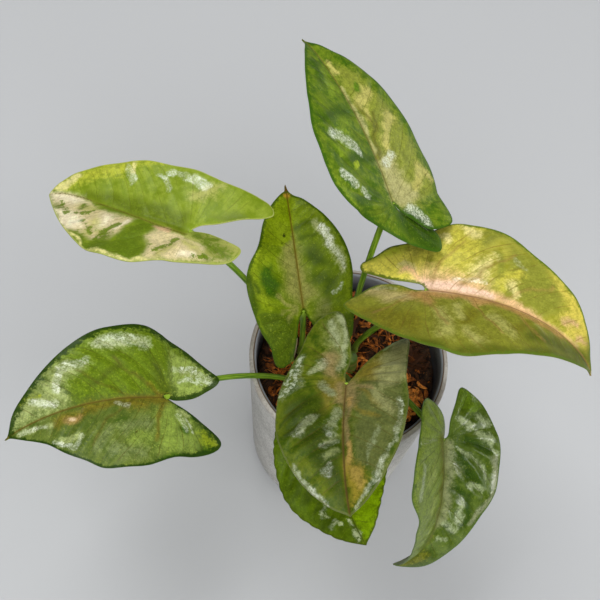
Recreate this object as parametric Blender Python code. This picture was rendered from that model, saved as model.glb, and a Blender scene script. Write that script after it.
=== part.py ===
"""Potted arrowhead plant: eight arrow-shaped leaves on two short stems in a round grey pot.

Units are metres, +Z is up. The origin is the centre of the pot's underside.
Leaf sizes in the tables below are in millimetres and degrees.
"""
import math
import random

import bpy
import numpy as np
from mathutils import Vector, geometry

MM = 0.001

# Pot: slightly tapered cylinder with a rounded rim
POT_HEIGHT = 102.0
POT_RIM_RADIUS = 45.0
POT_BASE_RADIUS = 41.0
POT_WALL = 3.4
POT_FLOOR = 5.0
POT_SIDES = 64

# Potting mix, loose bark and fibre on top
SOIL_LEVEL = 89.0
SOIL_GAP = 0.35
SOIL_RINGS = 15
SOIL_SIDES = 48
CHIP_COUNT = 46

# Touching pieces keep this gap
GAP = 0.3

# Leaf blades
BLADE_THICKNESS = 0.8
EDGE_STEP = 3.2
INNER_STEP = 5.5
RIPPLE_LENGTH = 21.0

# Leaf stalks
STALK_RADIUS = 1.25
STALK_BASE_RADIUS = 1.9
STALK_SIDES = 8
STALK_STEP = 5.0

# Two short stems: x, y, radius at the soil, height above the soil
STEMS = {
    "stem_right": dict(x=0.5, y=0.0, radius=4.0, height=14.0),
    "stem_left": dict(x=-19.0, y=-1.5, radius=3.4, height=11.0),
}
STEM_DEPTH = 18.0
STEM_SIDES = 20
HOLE_SIDES = 16

# Each blade: the stalk joint, then heading, pitch and bank there, then how far the midrib
# turns by the tip (droop, sweep, twist). Fold lifts each half from the midrib and curl
# bends it on towards its edge. Lobes gives how far each rear lobe bends down, and back
# how far both roll. The outlines run from the joint round each half to the tip: first
# number along the midrib, second out from it.
LEAVES = {
    "top": dict(
        joint=(3.8, 22.4, 192.4), length=73, aim=(120, 22, 17), turn=(22, 8, 2), late=1.4,
        fold=(23, -4), curl=(-11, -18), lobes=(-15, 15), back=-45, ripple=0.5,
        left=[(-3, -2), (-6, -8), (-9, -14), (-16, -16), (-22, -13), (-22, -9), (-17, -1), (-10, 8),
              (0, 23), (9, 29), (20, 30.5), (32, 29), (44, 23.5), (56, 16), (66, 7)],
        right=[(-4, 2.5), (-9, 7), (-13, 11.5), (-14.3, 17), (-14.2, 22), (-12.5, 25), (-7, 26.7),
               (1, 28), (15, 28), (30, 27), (41, 25.5), (50, 20.5), (60, 14), (68, 6)]),
    "back_left": dict(
        joint=(-72.2, 14.0, 166.2), length=67, aim=(164, -7, 5), turn=(14, 1, -2), late=1.4,
        fold=(18, 18), curl=(-11, -8), lobes=(8, 9), back=0, ripple=0.8,
        left=[(-3, -1), (-8, -2), (-15, -1.5), (-22, 0), (-23, 4), (-20, 9.5), (-10, 15.5), (2, 22),
              (12, 26.5), (22, 28), (31, 27), (41, 22), (51, 15), (60, 7)],
        right=[(-3, 3), (-9, 6.5), (-17, 12), (-25, 17.5), (-27, 21), (-22, 25), (-10, 25),
               (5, 25.5), (20, 25), (34, 22.5), (46, 17.5), (57, 12), (64, 6)]),
    "middle": dict(
        joint=(-23.3, -0.4, 139.9), length=55, aim=(107, 20, 1), turn=(23, -3, -1), late=1.4,
        fold=(18, 17), curl=(-10, -10), lobes=(10, 10), back=0, ripple=0.6,
        left=[(-4, 2.5), (-11, 4.5), (-18, 7), (-22, 11), (-20.5, 14.5), (-13, 16), (-6, 19.5),
              (4, 22.5), (13, 23), (20, 21), (28, 16), (38, 12.5), (46, 8), (52, 3)],
        right=[(-4, 2), (-10, 5), (-15, 9), (-17, 14), (-13, 18), (-5, 20), (5, 21), (14, 22.5),
               (22, 22), (31, 19), (40, 14), (48, 7), (51, 3)]),
    "right": dict(
        joint=(20.9, -2.8, 175.3), length=75, aim=(-8, 18, -11), turn=(72, -7, -1), late=1.5,
        fold=(16, 16), curl=(-13, -12), lobes=(10, 11), back=0, ripple=0.7,
        left=[(-3, 2.5), (-12, 3), (-21, 5), (-27, 7), (-28, 11), (-23, 15), (-18, 19.5), (-9, 23),
              (2, 30), (12, 32.5), (25, 30), (40, 23), (53, 17.5), (62, 10.5), (70, 3.5)],
        right=[(-4, 0.5), (-11, -1.5), (-18, -1), (-24, 4), (-29, 10), (-28, 13), (-20, 18),
               (-10, 24), (2, 29.5), (15, 32.5), (27, 30), (38, 23), (50, 16), (62, 9), (71, 3)]),
    "front": dict(
        joint=(-4.3, -40.7, 164.9), length=56, aim=(-92, 25, 17), turn=(21, 10, 2), late=1.4,
        fold=(15.5, 13), curl=(-11, -13), lobes=(-8, -35), back=0, ripple=0.5,
        left=[(-3, 2.5), (-8, 5.5), (-15, 10), (-21, 16), (-25, 20.5), (-23, 22.8), (-12, 22.5),
              (2, 22.8), (14, 23.8), (25, 22.5), (36, 19), (45, 13.5), (52, 7)],
        right=[(-5, 0.7), (-12, -0.8), (-20, -0.5), (-28, 1), (-35, 3), (-36.5, 7), (-33, 13),
               (-25, 17.5), (-14, 20.5), (-2, 23), (12, 24.2), (24, 23.5), (35, 19.5), (45, 13.5),
               (52, 6.5)]),
    "front_low": dict(
        joint=(-7.1, -41.4, 122.6), length=53, aim=(-80, 15, 18), turn=(24, 21, 2), late=1.4,
        fold=(16, 13), curl=(-11, -12), lobes=(10, 10), back=0, ripple=0.9,
        left=[(-4, 3), (-12, 7), (-19, 12), (-20, 17), (-14, 21), (-3, 23), (10, 23.5), (22, 22.5),
              (32, 19), (41, 13.5), (48, 7.5)],
        right=[(-4, 3), (-11.5, 6.5), (-17, 10), (-17.5, 14), (-12.5, 18), (-3, 21.5), (10, 23),
               (22, 23), (32, 20), (40, 14), (47, 7.5)]),
    "left": dict(
        joint=(-73.0, -41.9, 128.0), length=64.5, aim=(196, 27.4, 8), turn=(49, 16.4, 0), late=1.2,
        fold=(9, 16.5), curl=(-16, -10), lobes=(10, -50), back=0, ripple=0.6,
        left=[(-3, 3), (-8, 6), (-13, 10), (-18.5, 15), (-21, 19.5), (-17, 23.5), (-8, 25.7),
              (2, 27.2), (12, 29.3), (22, 29.7), (31.5, 27.9), (38.5, 23), (45, 17.8), (51, 11),
              (58, 5.5)],
        right=[(-4, -0.9), (-11.5, 0), (-18, 3), (-22.8, 6), (-23.6, 9.3), (-18.5, 14), (-12, 20),
               (-4, 25), (7, 30.6), (20, 31), (30, 26.8), (40, 21), (50, 13.2), (58.5, 7)]),
    "front_right": dict(
        joint=(41.3, -39.5, 118.1), length=64, aim=(-79, -27, -26), turn=(64, -37, 0), late=2.0,
        fold=(22, 32), curl=(-15, -19), lobes=(9, 8), back=0, ripple=0.6,
        left=[(-2, 2), (-8, 3.5), (-15, 6.5), (-20.5, 9.5), (-20, 13), (-13, 20), (-3, 24), (9, 26),
              (20, 24), (31, 18.5), (43, 12.5), (54, 7.5), (60, 2.5)],
        right=[(-2, -1), (-6, -2), (-11, 0), (-16, 5), (-18, 10), (-14, 14), (-6, 17.5), (3, 24),
               (12, 27), (22, 25.5), (30, 20), (37, 17.5), (45, 12.5), (54, 6.5), (60, 2.5)]),
}

# Each stalk: where it stands in the mix beside a stem, then the direction and pull of its
# curve where it leaves the mix and where it arrives under the blade
STALKS = {
    "top": dict(foot=(-4.6, 5.0), leave=(3, 5, 32), arrive=(5.5, 11.5, 27.5)),
    "back_left": dict(foot=(-25.6, -2.1), leave=(-1, 5, 29), arrive=(-21.5, 3, 15.5)),
    "middle": dict(foot=(-22.5, 4.2), leave=(1, -2.5, 15), arrive=(-1.5, 5, 13.5)),
    "right": dict(foot=(3.0, 8.5), leave=(-3, -5, 25), arrive=(11, 3, 23.5)),
    "front": dict(foot=(-2.0, -6.8), leave=(0, -4, 25), arrive=(-5.5, -6.5, 21.5)),
    "front_low": dict(foot=(-14.6, -7.0), leave=(0.5, -2.5, 15), arrive=(-2, -6.5, 12)),
    "left": dict(foot=(-23.0, -10.5), leave=(1, -2.5, 10), arrive=(-16.5, -24.5, 15)),
    "front_right": dict(foot=(7.0, -4.5), leave=(4.5, 0.5, 19), arrive=(8.5, -13.5, 5)),
}
STALK_DEPTH = 8.0

# Base colours (red, green, blue) and roughness of each leaf's face
LEAF_LOOKS = {
    "top": ((0.13, 0.24, 0.06), 0.35),
    "back_left": ((0.45, 0.48, 0.22), 0.38),
    "middle": ((0.19, 0.26, 0.04), 0.38),
    "right": ((0.42, 0.38, 0.14), 0.38),
    "front": ((0.12, 0.17, 0.05), 0.25),
    "front_low": ((0.20, 0.32, 0.03), 0.38),
    "left": ((0.20, 0.30, 0.08), 0.33),
    "front_right": ((0.16, 0.26, 0.08), 0.33),
}


def clear_scene():
    for old in list(bpy.data.objects):
        bpy.data.objects.remove(old, do_unlink=True)


def material(name, colour, roughness, metallic=0.0):
    mat = bpy.data.materials.new(name)
    mat.use_nodes = True
    shader = mat.node_tree.nodes["Principled BSDF"]
    shader.inputs["Base Color"].default_value = (*colour, 1.0)
    shader.inputs["Roughness"].default_value = roughness
    shader.inputs["Metallic"].default_value = metallic
    return mat


def mesh_object(name, points, faces, mat, smooth=True):
    """Make an object from points in millimetres and faces wound outwards."""
    mesh = bpy.data.meshes.new(name)
    mesh.from_pydata([tuple(MM * c for c in p) for p in points], [], faces)
    obj = bpy.data.objects.new(name, mesh)
    bpy.context.scene.collection.objects.link(obj)
    mesh.materials.append(mat)
    if smooth:
        mesh.shade_smooth()
        mesh.set_sharp_from_angle(angle=math.radians(40))
    return obj


def turned(name, profile, sides, mat):
    """Turn a profile of (radius, height) pairs that starts and ends on the axis."""
    points = [(0.0, 0.0, profile[0][1])]
    rings = []
    for radius, height in profile[1:-1]:
        ring = []
        for i in range(sides):
            angle = 2 * math.pi * i / sides
            ring.append(len(points))
            points.append((radius * math.cos(angle), radius * math.sin(angle), height))
        rings.append(ring)
    points.append((0.0, 0.0, profile[-1][1]))
    last = len(points) - 1
    faces = []
    for i in range(sides):
        j = (i + 1) % sides
        faces.append((0, rings[0][j], rings[0][i]))
        faces.append((last, rings[-1][i], rings[-1][j]))
        for low, high in zip(rings, rings[1:]):
            faces.append((low[i], low[j], high[j], high[i]))
    return mesh_object(name, points, faces, mat)


def inner_radius(height):
    """Inside radius of the pot at a height."""
    outer = POT_BASE_RADIUS + (POT_RIM_RADIUS - POT_BASE_RADIUS) * height / POT_HEIGHT
    return outer - POT_WALL


def make_pot():
    mat = material("pot_grey", (0.42, 0.41, 0.40), 0.6)
    base, rim, top = POT_BASE_RADIUS, POT_RIM_RADIUS, POT_HEIGHT
    profile = [
        (0, 0), (base - 1.6, 0), (base - 0.4, 0.5), (base, 1.8),
        (rim - 0.1, top - 1.8), (rim - 0.2, top - 0.7), (rim - 0.9, top),
        (rim - POT_WALL + 0.9, top), (rim - POT_WALL + 0.1, top - 0.8),
        (inner_radius(top - 3), top - 3), (inner_radius(POT_FLOOR), POT_FLOOR), (0, POT_FLOOR),
    ]
    return turned("pot", profile, POT_SIDES, mat)


def soil_height(x, y, chips):
    """Uneven potting mix with the ends of bark and fibre standing out of it."""
    z = SOIL_LEVEL
    z += 0.9 * math.sin(0.21 * x + 1.0) * math.cos(0.17 * y)
    z += 0.6 * math.sin(0.55 * x - 0.4 * y) + 0.5 * math.cos(0.47 * y + 0.63 * x)
    for cx, cy, angle, long, wide, tall in chips:
        along = (x - cx) * math.cos(angle) + (y - cy) * math.sin(angle)
        across = -(x - cx) * math.sin(angle) + (y - cy) * math.cos(angle)
        reach = max(abs(along) / long, abs(across) / wide)
        z += tall * max(0.0, min(1.0, 2.2 * (1.0 - reach)))
    return z


def make_soil():
    mat = material("potting_mix", (0.035, 0.020, 0.012), 0.9)
    dice = random.Random(11)
    chips = []
    for _ in range(CHIP_COUNT):
        far = 37.0 * math.sqrt(dice.random())
        turn = dice.uniform(0, 2 * math.pi)
        chips.append((far * math.cos(turn), far * math.sin(turn), dice.uniform(0, math.pi),
                      dice.uniform(2.5, 6.0), dice.uniform(1.5, 3.0), dice.uniform(0.8, 2.2)))
    foot = POT_FLOOR + SOIL_GAP
    edge = inner_radius(SOIL_LEVEL - 4) - SOIL_GAP
    foot_radius = inner_radius(foot) - SOIL_GAP
    points = [(0.0, 0.0, soil_height(0, 0, chips))]
    rings = []
    for r in range(1, SOIL_RINGS + 1):
        radius = edge * r / SOIL_RINGS
        ring = []
        for i in range(SOIL_SIDES):
            angle = 2 * math.pi * (i + 0.5 * (r % 2)) / SOIL_SIDES
            x, y = radius * math.cos(angle), radius * math.sin(angle)
            height = soil_height(x, y, chips) if r < SOIL_RINGS else SOIL_LEVEL - 1.5
            ring.append(len(points))
            points.append((x, y, height))
        rings.append(ring)
    base_ring = []
    for i in range(SOIL_SIDES):
        angle = 2 * math.pi * (i + 0.5 * (SOIL_RINGS % 2)) / SOIL_SIDES
        base_ring.append(len(points))
        points.append((foot_radius * math.cos(angle), foot_radius * math.sin(angle), foot))
    points.append((0.0, 0.0, foot))
    faces = []
    for i in range(SOIL_SIDES):
        j = (i + 1) % SOIL_SIDES
        faces.append((0, rings[0][i], rings[0][j]))
        for r, (near, far) in enumerate(zip(rings, rings[1:])):
            # Odd rings are half a step on, so the strip between them leans one way or the other
            if r % 2 == 0:
                faces.append((near[i], far[j], near[j]))
                faces.append((near[i], far[i], far[j]))
            else:
                faces.append((near[i], far[i], near[j]))
                faces.append((near[j], far[i], far[j]))
        faces.append((rings[-1][i], base_ring[i], base_ring[j], rings[-1][j]))
        faces.append((len(points) - 1, base_ring[j], base_ring[i]))
    soil = mesh_object("soil", points, faces, mat)
    for name, stem in STEMS.items():
        axis = Vector((0, 0, 1))
        foot = Vector((stem["x"], stem["y"], SOIL_LEVEL))
        cut_hole(soil, name, foot, axis, stem["radius"] + GAP, STEM_DEPTH + GAP)
    for name, stalk in STALKS.items():
        axis = Vector(stalk["leave"]).normalized()
        foot = Vector((*stalk["foot"], SOIL_LEVEL))
        cut_hole(soil, "stalk_" + name, foot, axis, STALK_BASE_RADIUS + GAP, STALK_DEPTH + GAP)
    return soil


def cut_hole(soil, name, foot, axis, radius, depth):
    """Plain round hole down the line of a stem or stalk."""
    above = 9.0
    middle = foot + axis * (above - depth) / 2
    bpy.ops.mesh.primitive_cylinder_add(
        vertices=HOLE_SIDES, radius=radius * MM, depth=(above + depth) * MM,
        location=middle * MM, rotation=Vector((0, 0, 1)).rotation_difference(axis).to_euler())
    cutter = bpy.context.active_object
    cutter.name = "hole_" + name
    cutter.hide_render = True
    cutter.display_type = "WIRE"
    cut = soil.modifiers.new("hole_" + name, "BOOLEAN")
    cut.operation = "DIFFERENCE"
    cut.object = cutter


def make_stem(name, stem):
    """Short upright stem with two rings where old leaves were, standing in its hole."""
    mat = material(name + "_green", (0.10, 0.15, 0.03), 0.5)
    radius, base, top = stem["radius"], SOIL_LEVEL - STEM_DEPTH, SOIL_LEVEL + stem["height"]
    tall = stem["height"]
    profile = [
        (0, base), (radius * 0.9, base), (radius, base + 1.5), (radius, SOIL_LEVEL + 2.5),
        (radius * 0.97, SOIL_LEVEL + 0.35 * tall), (radius * 0.9, SOIL_LEVEL + 0.40 * tall),
        (radius * 0.88, SOIL_LEVEL + 0.68 * tall), (radius * 0.78, SOIL_LEVEL + 0.75 * tall),
        (radius * 0.62, top - 1.2), (radius * 0.3, top), (0, top),
    ]
    obj = turned(name, profile, STEM_SIDES, mat)
    obj.location = (stem["x"] * MM, stem["y"] * MM, 0.0)
    return obj


def unit(vector):
    return vector / np.linalg.norm(vector)


def spin(vectors, axis, angles):
    """Turn a vector about an axis by each of several angles."""
    cosine, sine = np.cos(angles)[:, None], np.sin(angles)[:, None]
    return (vectors * cosine + np.cross(axis, vectors) * sine
            + axis * (axis @ vectors) * (1 - cosine))


class Blade:
    """The curved middle surface of one leaf blade."""

    def __init__(self, leaf):
        self.leaf = leaf
        self.length = leaf["length"]
        self.joint = np.array(leaf["joint"], float)
        heading, pitch, bank = np.radians(leaf["aim"])
        self.along = np.array([math.cos(pitch) * math.cos(heading),
                               math.cos(pitch) * math.sin(heading), math.sin(pitch)])
        level = np.array([-math.sin(heading), math.cos(heading), 0.0])
        upright = np.cross(self.along, level)
        self.across = math.cos(bank) * level + math.sin(bank) * upright
        self.normal = math.cos(bank) * upright - math.sin(bank) * level
        self.steps = np.linspace(-0.9 * self.length, 1.1 * self.length, 201)
        self.paths = {}
        for side in (1, -1):
            path = np.zeros((201, 3))
            run = self.turn(self.steps, side)[0]
            step = self.steps[1] - self.steps[0]
            path[1:] = np.cumsum(0.5 * (run[1:] + run[:-1]), axis=0) * step
            start = [np.interp(0, self.steps, path[:, k]) for k in range(3)]
            self.paths[side] = path - start + self.joint

    def turn(self, u, side):
        """Directions along, across and out of the blade at distances u along the midrib."""
        droop, sweep, twist = np.radians(self.leaf["turn"])
        front = twist * self.along + droop * self.across + sweep * self.normal
        lobe = math.radians(self.leaf["lobes"][0 if side > 0 else 1])
        rear = math.radians(self.leaf["back"]) * self.along - lobe * self.across
        part = np.abs(u) / self.length
        angle = np.where(u >= 0, np.linalg.norm(front) * part ** self.leaf["late"],
                         np.linalg.norm(rear) * part)
        result = []
        for direction in (self.along, self.across, self.normal):
            ahead = spin(direction, unit(front), angle)
            behind = spin(direction, unit(rear), angle)
            result.append(np.where((u >= 0)[:, None], ahead, behind))
        return result

    def points(self, u, w, side):
        """Points at u along the midrib and w out from it, on the left (1) or right (-1)."""
        u, w = np.asarray(u, float), np.asarray(w, float)
        path = self.paths[side]
        centre = np.stack([np.interp(u, self.steps, path[:, k]) for k in range(3)], axis=-1)
        _, across, normal = self.turn(u, side)
        which = 0 if side > 0 else 1
        fold = math.radians(self.leaf["fold"][which]) * np.clip(1 + 2 * u / self.length, 0, 1)
        bend = math.radians(self.leaf["curl"][which]) * w / (0.45 * self.length)
        middle = fold + bend / 2
        reach = w * np.sinc(bend / 2 / math.pi)
        wave = self.leaf["ripple"] * np.sin(2 * math.pi * u / RIPPLE_LENGTH + side)
        wave = wave * (w / (0.45 * self.length)) ** 2
        return (centre + (reach * np.cos(middle) * side)[:, None] * across
                + (reach * np.sin(middle) + wave)[:, None] * normal)


def smooth_line(knots, step):
    """Catmull-Rom curve through the knots, with points about one step apart."""
    knots = [np.array(k, float) for k in knots]
    padded = [2 * knots[0] - knots[1]] + knots + [2 * knots[-1] - knots[-2]]
    line = []
    for a, b, c, d in zip(padded, padded[1:], padded[2:], padded[3:]):
        count = max(1, round(float(np.linalg.norm(c - b)) / step))
        for i in range(count):
            t = i / count
            line.append(0.5 * (2 * b + (c - a) * t + (2 * a - 5 * b + 4 * c - d) * t ** 2
                               + (3 * b - a - 3 * c + d) * t ** 3))
    line.append(knots[-1])
    return line


def inside(point, loop):
    hit = False
    for (x1, y1), (x2, y2) in zip(loop, loop[1:] + loop[:1]):
        if (y1 > point[1]) != (y2 > point[1]):
            if point[0] < (x2 - x1) * (point[1] - y1) / (y2 - y1) + x1:
                hit = not hit
    return hit


def half_mesh(outline, length):
    """Triangulate one half of a blade: returns its flat points and triangles."""
    edge = [tuple(p) for p in smooth_line([(0, 0)] + outline + [(length, 0)], EDGE_STEP)]
    ribs = round(length / INNER_STEP)
    midrib = [(length * (ribs - i) / ribs, 0.0) for i in range(1, ribs)]
    loop = edge + midrib
    points = list(loop)
    rows = int(90 / INNER_STEP)
    for row in range(-rows // 2, rows):
        for column in range(-3, 10):
            spot = (row * INNER_STEP + 1.0, (column + 0.5 * (row % 2)) * INNER_STEP * 1.1 + 1.0)
            near = min(math.dist(spot, p) for p in loop)
            if inside(spot, loop) and near > 0.62 * INNER_STEP:
                points.append(spot)
    flat, _, triangles, _, _, _ = geometry.delaunay_2d_cdt(
        [Vector(p) for p in points], [], [list(range(len(loop)))], 1, 1e-6)
    return [(p.x, p.y) for p in flat], triangles


def make_blade(name, leaf, look):
    blade = Blade(leaf)
    points, faces = [], []
    shared = {}
    for side, outline in ((1, leaf["left"]), (-1, leaf["right"])):
        flat, triangles = half_mesh(outline, leaf["length"])
        placed = blade.points([p[0] for p in flat], [p[1] for p in flat], side)
        index = []
        for (u, w), place in zip(flat, placed):
            key = round(u, 4) if u > -1e-6 and abs(w) < 1e-6 else None
            if key is not None and key in shared:
                index.append(shared[key])
                continue
            if key is not None:
                shared[key] = len(points)
            index.append(len(points))
            points.append(place)
        for a, b, c in triangles:
            faces.append((index[a], index[b], index[c]) if side > 0 else (index[c], index[b], index[a]))
    return thick_sheet(name, np.array(points), faces, BLADE_THICKNESS, material(name, *look))


def thick_sheet(name, points, faces, thickness, mat):
    """Give a sheet of triangles the same triangles on both faces and a closed edge."""
    normals = np.zeros_like(points)
    for face in faces:
        a, b, c = points[list(face)]
        cross = np.cross(b - a, c - a)
        for corner in face:
            normals[corner] += cross
    normals /= np.linalg.norm(normals, axis=1)[:, None]
    count = len(points)
    solid = list(points + normals * thickness / 2) + list(points - normals * thickness / 2)
    shell = [tuple(face) for face in faces]
    shell += [tuple(count + corner for corner in reversed(face)) for face in faces]
    borders = set()
    for a, b, c in faces:
        borders.update(((a, b), (b, c), (c, a)))
    for a, b in sorted(borders):
        if (b, a) not in borders:
            shell.append((b, a, count + a))
            shell.append((b, count + a, count + b))
    return mesh_object(name, solid, shell, mat)


def stalk_path(stalk, leaf):
    """Centre line of one stalk: straight in its hole, then one bend up to the blade's joint."""
    blade = Blade(leaf)
    leave = np.array(stalk["leave"], float)
    arrive = np.array(stalk["arrive"], float)
    start = np.array([*stalk["foot"], SOIL_LEVEL])
    tilt = np.linalg.norm(np.cross(unit(arrive), blade.normal))
    below = BLADE_THICKNESS / 2 + GAP + 0.1 + STALK_RADIUS * tilt
    end = blade.joint + 0.8 * blade.along - below * blade.normal
    near, far = start + leave, end - arrive
    total = np.linalg.norm(leave) + np.linalg.norm(far - near) + np.linalg.norm(arrive)
    count = max(7, round(total / STALK_STEP))
    path = [start - unit(leave) * STALK_DEPTH]
    for i in range(count + 1):
        t = i / count
        path.append((1 - t) ** 3 * start + 3 * t * (1 - t) ** 2 * near
                    + 3 * t ** 2 * (1 - t) * far + t ** 3 * end)
    return path


def make_stalk(name, stalk, leaf):
    path = stalk_path(stalk, leaf)
    count = len(path)
    points, rings = [], []
    guide = np.array([1.0, 0.0, 0.0])
    for i, centre in enumerate(path):
        ahead = unit(path[min(i + 1, count - 1)] - path[max(i - 1, 0)])
        guide = unit(guide - ahead * (guide @ ahead))
        other = np.cross(ahead, guide)
        part = max(0, i - 1) / (count - 2)
        radius = STALK_RADIUS + (STALK_BASE_RADIUS - STALK_RADIUS) * max(0.0, 1 - 4 * part) ** 1.5
        ring = []
        for k in range(STALK_SIDES):
            angle = 2 * math.pi * k / STALK_SIDES
            ring.append(len(points))
            points.append(centre + radius * (math.cos(angle) * guide + math.sin(angle) * other))
        rings.append(ring)
    faces = [tuple(reversed(rings[0])), tuple(rings[-1])]
    for low, high in zip(rings, rings[1:]):
        for k in range(STALK_SIDES):
            m = (k + 1) % STALK_SIDES
            faces.append((low[k], low[m], high[m], high[k]))
    return mesh_object(name, points, faces, material(name, (0.14, 0.22, 0.05), 0.45))


def main():
    clear_scene()
    make_pot()
    make_soil()
    for name, stem in STEMS.items():
        make_stem(name, stem)
    for key, leaf in LEAVES.items():
        make_blade("leaf_" + key, leaf, LEAF_LOOKS[key])
        make_stalk("stalk_" + key, STALKS[key], leaf)


main()
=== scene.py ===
"""Looks of the potted arrowhead plant: fine blades, stalks, pot and potting mix on the CAD frame.

Units are metres, +Z is up. The tables are in millimetres and degrees, as in the part's source.
"""
import math
import random

import bpy
import numpy as np
from mathutils import Matrix, Vector, geometry


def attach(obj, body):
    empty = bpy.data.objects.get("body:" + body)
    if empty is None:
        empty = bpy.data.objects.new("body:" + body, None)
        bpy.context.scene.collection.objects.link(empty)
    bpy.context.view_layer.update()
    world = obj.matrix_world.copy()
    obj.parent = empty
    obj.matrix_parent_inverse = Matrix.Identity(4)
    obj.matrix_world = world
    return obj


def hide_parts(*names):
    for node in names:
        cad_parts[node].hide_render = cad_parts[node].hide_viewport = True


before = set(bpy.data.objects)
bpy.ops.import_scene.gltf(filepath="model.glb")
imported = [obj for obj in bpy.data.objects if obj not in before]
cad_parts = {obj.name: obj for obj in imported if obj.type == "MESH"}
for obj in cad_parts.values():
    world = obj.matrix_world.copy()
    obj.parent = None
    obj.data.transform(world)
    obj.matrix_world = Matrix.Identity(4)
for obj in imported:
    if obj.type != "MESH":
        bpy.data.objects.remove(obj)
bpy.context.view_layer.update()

MM = 0.001

# Pot, as in the part's source
POT_HEIGHT = 102.0
POT_RIM_RADIUS = 45.0
POT_BASE_RADIUS = 41.0
POT_WALL = 3.4
POT_FLOOR = 5.0
POT_SIDES = 192

# Rounded lower edge of the pot: how far in from the wall and how high each point is
POT_FOOT = ((20.5, 0), (2.2, 0), (1.2, 0.25), (0.4, 0.9), (0, 2))

# Parts of the pot's surface: wall, lip, the brown line on its inner side and the inside
ON_WALL, ON_LIP, ON_LINE, ON_INSIDE = 0, 1, 1.6, 2

# Potting mix: level, gap to the pot, mesh, how far out the middles of lumps and the ends of
# strips may lie, and a step along a strip
SOIL_LEVEL = 89.0
SOIL_GAP = 0.35
SOIL_RINGS = 52
SOIL_SIDES = 176
LUMP_REACH = 38.5
FIBRE_LIMIT = 38.6
FIBRE_STEP = 0.9

# Middle and radius of the whole top and of the heap, brightened with painted light, and middle
# of the side darkened with painted shade
WHOLE_TOP = (0.0, 0.0, 36.5)
HUSK_HEAP = (33.0, -14.5, 9.0)
SHADED_SIDE = (35, 8)

# Broken lumps: how many, smallest and largest size, flatness, height over the mix and seed
CRUMBS = {
    "bark_chips": (90, (1.0, 3.0), 0.6, 0.0, 12),
    "soil_lumps": (420, (0.4, 1.2), 0.85, 0.3, 13),
    "bark_bits": (240, (0.4, 1.2), 0.6, 0.4, 14),
}

# Strips and fibres: how many, steps long, widths, flatness, height over the mix, seed, place
STRIPS = {
    "husk_curls": (420, (6, 16), (0.35, 1.0), 0.3, (0.6, 3.2), 31, WHOLE_TOP),
    "coir_fibres": (420, (6, 14), (0.08, 0.2), 1.0, (0.8, 3.4), 32, WHOLE_TOP),
    "husk_heap": (90, (6, 13), (0.4, 1.1), 0.35, (1.2, 4.4), 33, HUSK_HEAP),
}

# Blades: thickness, at the margin too, and length of a ripple and of a small wave
BLADE_THICKNESS = 0.8
RIM_THICKNESS = 0.3
RIPPLE_LENGTH = 21.0
CRENATION_LENGTH = 4.6

# Fine mesh of the blades: steps along the margin and inside, length and columns of the grid
# inside, distance of its rows and from the margin as parts of the inner step
EDGE_STEP = 0.8
INNER_STEP = 0.85
GRID_LENGTH = 140
GRID_COLUMNS = (-24, 48)
ROW_GAP = 0.87
CLEAR_GAP = 0.55

# Side veins: distance apart, how their line leans and bends towards the tip, and how many
# millimetres of that distance one radian makes in the rear lobes
VEIN_SPACING = 8.5
VEIN_LEAN = 0.5
VEIN_BEND = 0.018
LOBE_FAN = 21.0

# Stalks, and the short stems that they grow beside
STALK_RADIUS = 1.25
STALK_BASE_RADIUS = 1.9
STALK_DEPTH = 8.0
STALK_SIDES = 18
STALK_STEP = 1.2
STEMS = {
    "stem_right": dict(x=0.5, y=0.0, radius=4.0, height=14.0),
    "stem_left": dict(x=-19.0, y=-1.5, radius=3.4, height=11.0),
}
STEM_DEPTH = 18.0
STEM_SIDES = 40
STEM_RINGS = 60

# Dry sheaths at the feet of stalks: name, foot, side they are on, radius, height and lean
SHEATHS = [
    ("sheath_middle", (-22.5, 4.2), -160, 4.6, 27.0, (3.5, -3.2)),
    ("sheath_middle_low", (-22.5, 4.2), -30, 3.4, 30.0, (1.5, -5.0)),
    ("sheath_right", (3.0, 8.5), -120, 2.6, 13.0, (-1.2, -2.0)),
]
SHEATH_COLUMNS = 15
SHEATH_ROWS = 22
SHEATH_THICKNESS = 0.22

# Lights: name, compass heading from +Y, height in degrees, size, power, and if gloss shows it
LIGHTS = [
    ("skylight", -42, 67, (1.1, 0.95), 20.5, True),
    ("side", 105, 28, (0.55, 0.45), 5.2, True),
    ("window", 49, 8, (0.3, 0.28), 3, True),
    ("ceiling", 130, 78, (2.4, 2.4), 17, False),
    ("fill", 170, 44, (2.4, 1.8), 33, False),
]
LIGHT_DISTANCE = 2.0
LIGHT_AIM = Vector((0.0, 0.0, 0.12))

# Camera: degrees that it looks down and is rolled, lens in millimetres, and place
CAMERA_PITCH = 62
CAMERA_ROLL = 8
CAMERA_LENS = 54
CAMERA_PLACE = Vector((-25.39, -170.52, 468.89))

# Half the width of the floor, in metres
FLOOR_HALF = 3.0

# Colours that all blades share
# Painted sheen: the pale colour that whitens the glossy places of every blade as a painted highlight
PAINTED_SHEEN = (0.66, 0.72, 0.54)
FRECKLE_DARK = (0.45, 0.52, 0.2)
FRECKLE_PALE = (0.75, 0.85, 0.05)
NET_SHADE = (0.35, 0.42, 0.15)
VEIN_SHADE = (0.60, 0.52, 0.35)

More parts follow.
